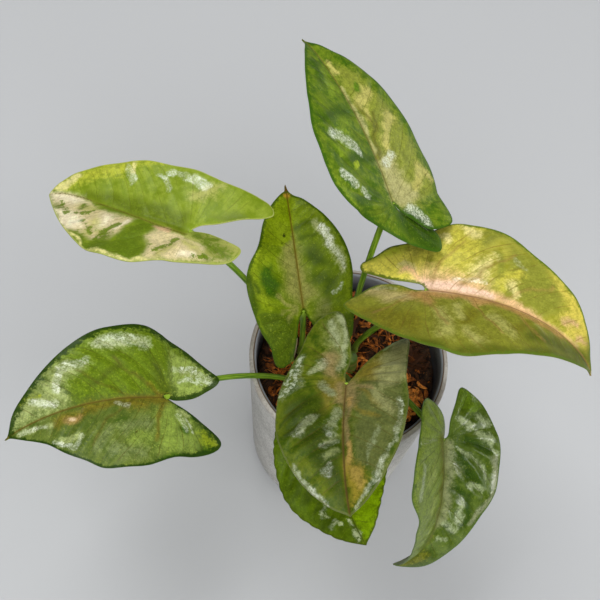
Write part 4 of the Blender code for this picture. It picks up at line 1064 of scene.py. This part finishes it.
class Sheet:
    """The fine sheet of one blade, with its distances from the midrib, margin and veins."""

    def __init__(self, name, leaf, seed):
        self.name, self.seed, self.paint = name, seed, PAINT[name]
        self.last, tip = TIPS.get(name, (None, leaf["length"]))
        last = [self.last] if self.last else []
        self.flat, self.places, self.faces, self.margin = sewn_halves(name, leaf, last, tip)
        u, w = self.flat.T
        spine = np.array(self.paint["spine"], float)
        self.off = w - np.interp(u, spine[:, 0], spine[:, 1])
        self.wide = np.abs(self.off)
        self.past = np.clip(u / leaf["length"], 0, 1)
        self.across = vein_place(u, self.wide) + 1.1 * self.lumps(13, 0)
        self.middle = np.exp(-(self.wide / (1.15 - 0.7 * self.past)) ** 2) * rise(u, -1.5, 0.5)

    def lumps(self, size, shift):
        """Smooth uneven waves over the blade, others for each shift."""
        return lumps(*self.flat.T, size, self.seed + shift)

    def veins(self, times, width, start, away):
        """Lines of the side veins: 1 on a line, 0 beside it, at the midrib and at the margin."""
        line = np.exp(-(vein_gap(self.across, times) / width) ** 2)
        return line * rise(self.wide, *start) * rise(self.margin, *away)

    def relief(self):
        """Height of the upper side: swellings between the veins, lumps and the midrib's groove."""
        fade = rise(self.wide, 0.5, 5.0) * rise(self.margin, 0.0, 5.0)
        fade = fade * rise(np.hypot(self.flat[:, 0], self.off), 3, 12)
        quilt = np.where(self.off > 0, *self.paint["quilt"])
        quilt = quilt * np.clip(0.65 + 0.8 * self.lumps(10, 7), 0.15, 1.4)
        bulge = 0.5 - 0.5 * np.cos(2 * math.pi * self.across / VEIN_SPACING)
        crease = np.exp(-(vein_gap(self.across, 1) / 0.8) ** 2)
        relief = quilt * fade * (0.9 * bulge - 0.3 * crease)
        relief += 0.5 * self.lumps(8, 1) * rise(self.wide, 0, 4)
        minor = self.veins(3, 0.4, (0.6, 2.5), (1.5, 5.0))
        relief += 0.10 * self.lumps(4.2, 2) - 0.04 * minor
        waxy = rise(depth_in(self.flat, SHINE[self.name]), -1.0, 0.5)
        relief += 0.13 * self.lumps(2.3, 8) * waxy * rise(self.margin, 0, 2)
        return relief - 0.32 * self.middle

    def solid(self):
        """Points and faces of the thick blade, with ridges under its midrib and side veins."""
        places, count = self.places, len(self.places)
        places = places + face_normals(places, self.faces) * self.relief()[:, None]
        normals = face_normals(places, self.faces)
        swell = (BLADE_THICKNESS - RIM_THICKNESS) * rise(self.margin, 0.0, 1.2)
        half = 0.5 * (RIM_THICKNESS + swell)
        lateral = self.veins(1, 0.5, (0.4, 2.0), (0.8, 4.0))
        ridge = 0.75 * self.middle * (1 - 0.6 * self.past)
        ridge = ridge + 0.22 * lateral * (1 - rise(self.wide, 8, 26) * 0.7)
        points = np.concatenate([places + normals * half[:, None],
                                 places - normals * (half + ridge)[:, None]])
        faces = self.faces.tolist() + (self.faces[:, ::-1] + count).tolist()
        sides = {side for a, b, c in self.faces.tolist() for side in ((a, b), (b, c), (c, a))}
        faces += [(b, a, count + a, count + b) for a, b in sorted(sides) if (b, a) not in sides]
        return points, faces

    def fields(self):
        """What the material reads: places on the blade, midrib, margin, glossy places with painted
        sheen and patches.
        """
        u, w = self.flat.T
        depth = np.zeros(len(u)) + 7.0 * self.seed
        rim = 1 + (self.paint.get("rim", 1.0) - 1) * rise(u, -12, 2) * (w > 0)
        spike = 3.0 * rise(u, self.last[0] - 0.5, self.last[0] + 0.5) if self.last else 0.0
        bent = self.flat + np.column_stack(
            [1.3 * self.lumps(5.5, k) + 0.5 * self.lumps(2.2, k + 1) for k in (3, 5)])
        fields = {"flat": np.column_stack([u, w, depth]),
                  "weave": np.column_stack([self.across, self.wide, depth + 30 * (self.off > 0)]),
                  "open": rise(self.wide, 0.3, 2.5) * rise(self.margin, 0.8, 4.0),
                  "middle": self.middle,
                  "edge": self.margin * rim + spike,
                  "shine": depth_in(bent, SHINE[self.name])}
        for i, (_, _, _, marks) in enumerate(LAYERS[self.name]):
            fields[f"tint{i}"] = depth_in(bent, marks)
        return fields


def make_leaf(name, leaf, seed):
    """Fine blade with grooved midrib, quilted side veins and a thin rounded margin."""
    sheet = Sheet(name, leaf, seed)
    points, faces = sheet.solid()
    obj = mesh_piece("blade_" + name, points, faces, leaf_material(name),
                     "leaf_" + name, 50)
    put(obj, below=np.repeat([0.0, 1.0], len(sheet.flat)),
        **{key: np.concatenate([values, values]) for key, values in sheet.fields().items()})


def tube(path, radii, sides, oval=1.0):
    """Points and faces of a closed tube along a path."""
    points = []
    guide = np.array([1.0, 0.0, 0.0])
    for i, centre in enumerate(path):
        ahead = unit(path[min(i + 1, len(path) - 1)] - path[max(i - 1, 0)])
        guide = unit(guide - ahead * (guide @ ahead))
        other = np.cross(ahead, guide)
        for k in range(sides):
            angle = 2 * math.pi * k / sides
            points.append(centre + radii[i] * (math.cos(angle) * guide
                                               + oval * math.sin(angle) * other))
    last = len(points) - sides
    faces = [tuple(reversed(range(sides))), tuple(range(last, last + sides))]
    for low in range(0, last, sides):
        for k in range(sides):
            m = (k + 1) % sides
            faces.append((low + k, low + m, low + sides + m, low + sides + k))
    return points, faces


def stalk_path(stalk, leaf):
    """Centre line of one stalk: straight in its hole, then one bend up into the blade's joint."""
    blade = Blade(leaf)
    leave = np.array(stalk["leave"], float)
    arrive = np.array(stalk["arrive"], float)
    start = np.array([*stalk["foot"], SOIL_LEVEL])
    end = blade.joint + 0.8 * blade.along - 0.5 * blade.normal
    near, far = start + leave, end - arrive
    total = np.linalg.norm(leave) + np.linalg.norm(far - near) + np.linalg.norm(arrive)
    count = round(total / STALK_STEP)
    path = [start - unit(leave) * STALK_DEPTH]
    for i in range(count + 1):
        t = i / count
        path.append((1 - t) ** 3 * start + 3 * t * (1 - t) ** 2 * near
                    + 3 * t ** 2 * (1 - t) * far + t ** 3 * end)
    return path


def make_stalk(name, leaf, mat, seed):
    """Round stalk with a wide sheathing foot and a swollen end at the blade."""
    path = stalk_path(STALKS[name], leaf)
    part = np.arange(len(path)) / (len(path) - 1)
    left = np.linalg.norm(np.array(path) - path[-1], axis=1)
    radii = STALK_RADIUS + (STALK_BASE_RADIUS - STALK_RADIUS) * np.clip(1 - 4 * part, 0, 1) ** 1.5
    radii = radii + 0.22 * np.exp(-(left / 4.0) ** 2)
    points, faces = tube(path, radii, STALK_SIDES)
    obj = mesh_piece("petiole_" + name, points, faces, mat, "stalk_" + name)
    turn = np.tile(2 * math.pi * np.arange(STALK_SIDES) / STALK_SIDES, len(path))
    run = np.concatenate([[0], np.cumsum(np.linalg.norm(np.diff(path, axis=0), axis=1))])
    grow = [np.cos(turn), np.repeat(run, STALK_SIDES), np.sin(turn) + 5.0 * seed]
    put(obj, grow=np.column_stack(grow), low=np.repeat(1 - rise(part, 0.05, 0.35), STALK_SIDES),
        joint=np.repeat(1 - rise(left, 1.0, 5.0), STALK_SIDES))


def ring_faces(rings, sides):
    """Faces round an axis: a first point, rings of points one after another and a last point."""
    last = 1 + rings * sides
    faces = []
    for i in range(sides):
        j = (i + 1) % sides
        faces.append((0, 1 + j, 1 + i))
        faces.append((last, last - sides + i, last - sides + j))
        for low in range(1, last - sides, sides):
            faces.append((low + i, low + j, low + sides + j, low + sides + i))
    return faces


def turned(profile, sides):
    """Points and faces of a profile of (radius, height) pairs turned about the axis."""
    points = [(0.0, 0.0, profile[0][1])]
    for radius, height in profile[1:-1]:
        for i in range(sides):
            angle = 2 * math.pi * i / sides
            points.append((radius * math.cos(angle), radius * math.sin(angle), height))
    points.append((0.0, 0.0, profile[-1][1]))
    return np.array(points), ring_faces(len(profile) - 2, sides)


def on_rings(values, sides):
    """The values of a profile's points, for all the points of its turned shape."""
    return np.repeat(values, [1] + [sides] * (len(values) - 2) + [1])


def inner_radius(height):
    """Inside radius of the pot at a height."""
    outer = POT_BASE_RADIUS + (POT_RIM_RADIUS - POT_BASE_RADIUS) * height / POT_HEIGHT
    return outer - POT_WALL


def make_pot():
    """Thin-walled round pot with a softly rolled rim."""
    base, rim, top, lip = POT_BASE_RADIUS, POT_RIM_RADIUS, POT_HEIGHT, POT_WALL / 2
    profile = [(0, 0)] + [(base - inset, height) for inset, height in POT_FOOT]
    for i in range(1, 40):
        height = 2.0 + (top - 5.0) * i / 40
        profile.append((base + (rim - 0.1 - base) * height / top, height))
    band = [ON_WALL] * len(profile)
    for i in range(17):
        angle = math.pi * i / 16
        profile.append((rim - lip + (lip - 0.1) * math.cos(angle),
                        top - 1.3 + 1.3 * math.sin(angle)))
        band.append(ON_LIP if i < 9 else (ON_LINE if i < 11 else ON_INSIDE))
    for i in range(1, 24):
        height = top - 1.6 - (top - 1.6 - POT_FLOOR) * i / 23
        profile.append((inner_radius(height), height))
    profile.append((0, POT_FLOOR))
    band += [ON_INSIDE] * (len(profile) - len(band))
    points, faces = turned(profile, POT_SIDES)
    angle = np.arctan2(points[:, 1], points[:, 0])
    swell = 1 + 0.0008 * lumps(2 * np.cos(angle), 2 * np.sin(angle), 1.0, 5)
    points[:, :2] *= swell[:, None]
    obj = mesh_piece("pot_shell", points, faces, pot_material(), "pot", 60)
    # deep is the depth below the rim, along which the painted shade of the inside darkens
    put(obj, band=on_rings(band, POT_SIDES),
        deep=np.clip((top - points[:, 2]) / (top - SOIL_LEVEL), 0, 1))


def soil_height(x, y):
    """Uneven crumbly surface of the potting mix."""
    z = SOIL_LEVEL + 0.9 * np.sin(0.21 * x + 1.0) * np.cos(0.17 * y)
    z = z + 0.6 * np.sin(0.55 * x - 0.4 * y) + 0.5 * np.cos(0.47 * y + 0.63 * x)
    z = z + 1.1 * lumps(x, y, 5.0, 21) + 0.8 * np.abs(lumps(x, y, 2.4, 22))
    return z + 0.5 * lumps(x, y, 1.2, 23)


def make_soil(mat):
    """Crumbly top of the potting mix on a plain body that fills the pot."""
    edge, foot = inner_radius(SOIL_LEVEL) - SOIL_GAP, POT_FLOOR + SOIL_GAP
    turn = np.arange(SOIL_SIDES)
    points = [(0.0, 0.0, float(soil_height(0.0, 0.0)))]
    for r in range(1, SOIL_RINGS + 1):
        radius = edge * r / SOIL_RINGS
        angle = 2 * math.pi * (turn + 0.5 * (r % 2)) / SOIL_SIDES
        x, y = radius * np.cos(angle), radius * np.sin(angle)
        z = soil_height(x, y) - 1.5 * rise(r / SOIL_RINGS, 0.93, 1.0)
        points += list(zip(x, y, z))
    low, angle = inner_radius(foot) - SOIL_GAP, 2 * math.pi * turn / SOIL_SIDES
    points += list(zip(low * np.cos(angle), low * np.sin(angle), np.full(SOIL_SIDES, foot)))
    points.append((0.0, 0.0, foot))
    faces = [(a, *rest[::-1]) for a, *rest in ring_faces(SOIL_RINGS + 1, SOIL_SIDES)]
    mesh_piece("soil_crumb", points, faces, mat, "soil", 70)


def chunk(dice, size, flat):
    """Points of a small broken lump: an uneven box with its corners pulled about."""
    points = []
    for x in (-1, 0, 1):
        for y in (-1, 0, 1):
            for z in (-1, 1):
                pull = 1.0 if x == 0 or y == 0 else 0.72
                points.append(np.array([x * size * pull * dice.uniform(0.8, 1.15),
                                        y * size * flat * pull * dice.uniform(0.8, 1.15),
                                        z * size * flat * 0.35 * dice.uniform(0.6, 1.3)]))
    return points


def chunk_faces():
    """Faces of a lump: four above, four below and eight round its side."""
    faces = []
    for start in (0, 2, 6, 8):
        corners = (start, start + 6, start + 8, start + 2)
        faces += [tuple(c + 1 for c in corners), corners[::-1]]
    side = (0, 6, 12, 14, 16, 10, 4, 2)
    return faces + [(a, b, b + 1, a + 1) for a, b in zip(side, side[1:] + side[:1])]


def scatter(count, sizes, flat, lift, seed):
    """Broken lumps on the potting mix: points, faces and shade of each."""
    dice = random.Random(seed)
    faces = chunk_faces()
    for _ in range(count):
        far = LUMP_REACH * math.sqrt(dice.random())
        angle = dice.uniform(0, 2 * math.pi)
        x, y = far * math.cos(angle), far * math.sin(angle)
        size = dice.uniform(*sizes)
        tilt = Matrix.Rotation(dice.uniform(0, 2 * math.pi), 3, "Z")
        tilt = tilt @ Matrix.Rotation(dice.uniform(-0.5, 0.5), 3, "X")
        tilt = tilt @ Matrix.Rotation(dice.uniform(-0.4, 0.4), 3, "Y")
        turn = np.array(tilt)
        place = np.array([x, y, float(soil_height(x, y)) + lift * size])
        yield [turn @ p + place for p in chunk(dice, size, flat)], faces, dice.random()


def bark_light_and_shade(x, y):
    """Brightness of the bark: darker at the right wall with painted shade, brighter in the heap with
    painted light.
    """
    # Painted shade darkens the bark by the right wall, and painted light brightens it in the heap
    wall_shade = float(rise(math.hypot(x - SHADED_SIDE[0], 1.1 * (y - SHADED_SIDE[1])), 17, 8))
    dry = float(rise(math.hypot(x - HUSK_HEAP[0], y - HUSK_HEAP[1] + 3), 16, 6))
    return 1 - 0.88 * wall_shade + 2.2 * dry


def strew(count, steps, widths, oval, lift, seed, heap):
    """Curled strips or fibres of coir within a heap on the mix: points, faces, shade of each."""
    dice = random.Random(seed)
    for _ in range(count):
        far = heap[2] * math.sqrt(dice.random())
        angle = dice.uniform(0, 2 * math.pi)
        x, y = heap[0] + far * math.cos(angle), heap[1] + far * math.sin(angle)
        heading, bend = dice.uniform(0, 2 * math.pi), dice.uniform(-0.3, 0.3)
        height, arch = dice.uniform(*lift), dice.uniform(0.0, 0.9)
        long = dice.randint(*steps)
        path = []
        for i in range(long):
            if math.hypot(x, y) > FIBRE_LIMIT:
                break
            hump = arch * math.sin(math.pi * i / (long - 1)) * long / 6
            path.append(np.array([x, y, float(soil_height(x, y)) * 0.4 + 0.6 * SOIL_LEVEL
                                  + height + hump]))
            x, y = x + FIBRE_STEP * math.cos(heading), y + FIBRE_STEP * math.sin(heading)
            heading += bend + dice.uniform(-0.25, 0.25)
        if len(path) < 4:
            continue
        wide = dice.uniform(*widths)
        end = len(path) - 1
        taper = [wide * (1 - 0.75 * abs(2 * i / end - 1) ** 2.5) for i in range(len(path))]
        # Each strip's shade is random, with painted shade and painted light by its place
        yield *tube(path, taper, 6, oval), min(1.0, dice.random() * bark_light_and_shade(x, y))


def make_litter(name, bits, mat, sharp):
    """One piece of many loose bits, each given by its points, its faces and its shade."""
    points, faces, shades = [], [], []
    for made, sides, shade in bits:
        faces += [tuple(len(points) + c for c in side) for side in sides]
        points += made
        shades += [shade] * len(made)
    put(mesh_piece(name, points, faces, mat, None, sharp), shade=shades)


def make_stem(name, stem, mat):
    """Short green stem with raised rings where old leaves were and a blunt bud on top."""
    base, tall = SOIL_LEVEL - STEM_DEPTH, stem["height"] + STEM_DEPTH
    profile, rings = [(0, base)], [0.0]
    for i in range(STEM_RINGS):
        height = base + tall * (i / (STEM_RINGS - 1))
        above = max(0.0, (height - SOIL_LEVEL) / stem["height"])
        bud = 0.55 * max(0.0, above - 0.85) / 0.15 * above
        ring = max(math.exp(-((above - scar) / 0.05) ** 2) for scar in (0.35, 0.7))
        profile.append((stem["radius"] * (1 - 0.22 * above ** 1.6 - bud) + 0.18 * ring, height))
        rings.append(ring)
    profile.append((0, base + tall))
    rings.append(0.0)
    points, faces = turned(profile, STEM_SIDES)
    points = points + np.array([stem["x"], stem["y"], 0.0])
    obj = mesh_piece("shoot_" + name.split("_")[1], points, faces, mat, name, 50)
    put(obj, ring=on_rings(rings, STEM_SIDES))


def make_sheath(name, foot, side, radius, height, lean, mat):
    """Thin dry sheath that wraps the foot of a stalk on one side and ends in a point."""
    columns, rows = SHEATH_COLUMNS, SHEATH_ROWS
    heading = math.radians(side)
    points, faces = [], []
    for shift in (0.0, SHEATH_THICKNESS):
        for i in range(rows):
            part = i / (rows - 1)
            spread = 3.2 / radius * (1 - part ** 1.7) + 0.03
            for k in range(columns):
                across = 2 * k / (columns - 1) - 1
                angle = heading + spread * across
                far = radius + shift + 0.9 * part * part + 0.15 * math.sin(5 * across + 7 * part)
                points.append((foot[0] + far * math.cos(angle) + lean[0] * part,
                               foot[1] + far * math.sin(angle) + lean[1] * part,
                               SOIL_LEVEL - 1.5 + height * part))
    count = rows * columns
    for i in range(rows - 1):
        for k in range(columns - 1):
            a, b = i * columns + k, (i + 1) * columns + k
            faces.append((a, b, b + 1, a + 1))
            faces.append((count + a, count + a + 1, count + b + 1, count + b))
    rim = list(range(columns))
    rim += [(i + 1) * columns - 1 for i in range(1, rows)]
    rim += [(rows - 1) * columns + k for k in range(columns - 2, -1, -1)]
    rim += [i * columns for i in range(rows - 2, 0, -1)]
    for a, b in zip(rim, rim[1:] + rim[:1]):
        faces.append((a, b, count + b, count + a))
    mesh_piece(name, points, faces, mat, None, 60)


def make_floor():
    """Plain pale floor."""
    g = Graph("floor", 0.75, Specular_IOR_Level=0.2)
    g.feed(g.shader, {"Base Color": FLOOR})
    corners = [(x * FLOOR_HALF, y * FLOOR_HALF, 0) for x, y in ((-1, -1), (1, -1), (1, 1), (-1, 1))]
    add_mesh("floor", corners, [(0, 1, 2, 3)], g.mat)


def make_light(name, heading, height, size, power, glossy):
    """Area light that looks at the plant."""
    data = bpy.data.lights.new(name, "AREA")
    data.shape = "RECTANGLE"
    data.size, data.size_y = size
    data.energy = power
    obj = add_object(name, data)
    turn, lift = math.radians(heading), math.radians(height)
    aim = Vector((math.sin(turn) * math.cos(lift), math.cos(turn) * math.cos(lift), math.sin(lift)))
    obj.location = LIGHT_AIM + LIGHT_DISTANCE * aim
    obj.rotation_euler = aim.to_track_quat("Z", "Y").to_euler()
    obj.visible_glossy = glossy


def make_studio():
    """Soft even light from above, with windows behind and beside that shine on the leaves."""
    world = bpy.data.worlds.new("studio")
    bpy.context.scene.world = world
    world.use_nodes = True
    back = world.node_tree.nodes["Background"]
    back.inputs["Color"].default_value = (*SKY, 1.0)
    back.inputs["Strength"].default_value = SKY_STRENGTH
    for light in LIGHTS:
        make_light(*light)
    bpy.context.scene.view_settings.view_transform = "Standard"


def make_camera():
    """Looks down at the plant from in front, a little rolled."""
    pitch, roll = math.radians(CAMERA_PITCH), math.radians(CAMERA_ROLL)
    right = Vector((1, 0, 0))
    up = Vector((0, math.sin(pitch), math.cos(pitch)))
    ahead = Vector((0, math.cos(pitch), -math.sin(pitch)))
    across = math.cos(roll) * right + math.sin(roll) * up
    upward = math.cos(roll) * up - math.sin(roll) * right
    data = bpy.data.cameras.new("camera")
    data.lens, data.sensor_width = CAMERA_LENS, 36
    data.clip_start, data.clip_end = 0.01, 20
    obj = add_object("camera", data)
    turn = Matrix((across, upward, -ahead)).transposed().to_4x4()
    turn.translation = CAMERA_PLACE * MM
    obj.matrix_world = turn
    bpy.context.scene.camera = obj


def main():
    make_camera()
    make_studio()
    make_floor()
    make_pot()
    mix, bark = soil_material(), bark_material()
    make_soil(mix)
    for name, row in CRUMBS.items():
        make_litter(name, scatter(*row), mix if name == "soil_lumps" else bark, 25)
    for name, row in STRIPS.items():
        make_litter(name, strew(*row), bark, 80)
    green = stem_material()
    for name, stem in STEMS.items():
        make_stem(name, stem, green)
    paper = sheath_material()
    for sheath in SHEATHS:
        make_sheath(*sheath, paper)
    petiole = stalk_material()
    for seed, (name, leaf) in enumerate(LEAVES.items()):
        make_leaf(name, leaf, 10 * seed + 3)
        make_stalk(name, leaf, petiole, seed)


main()
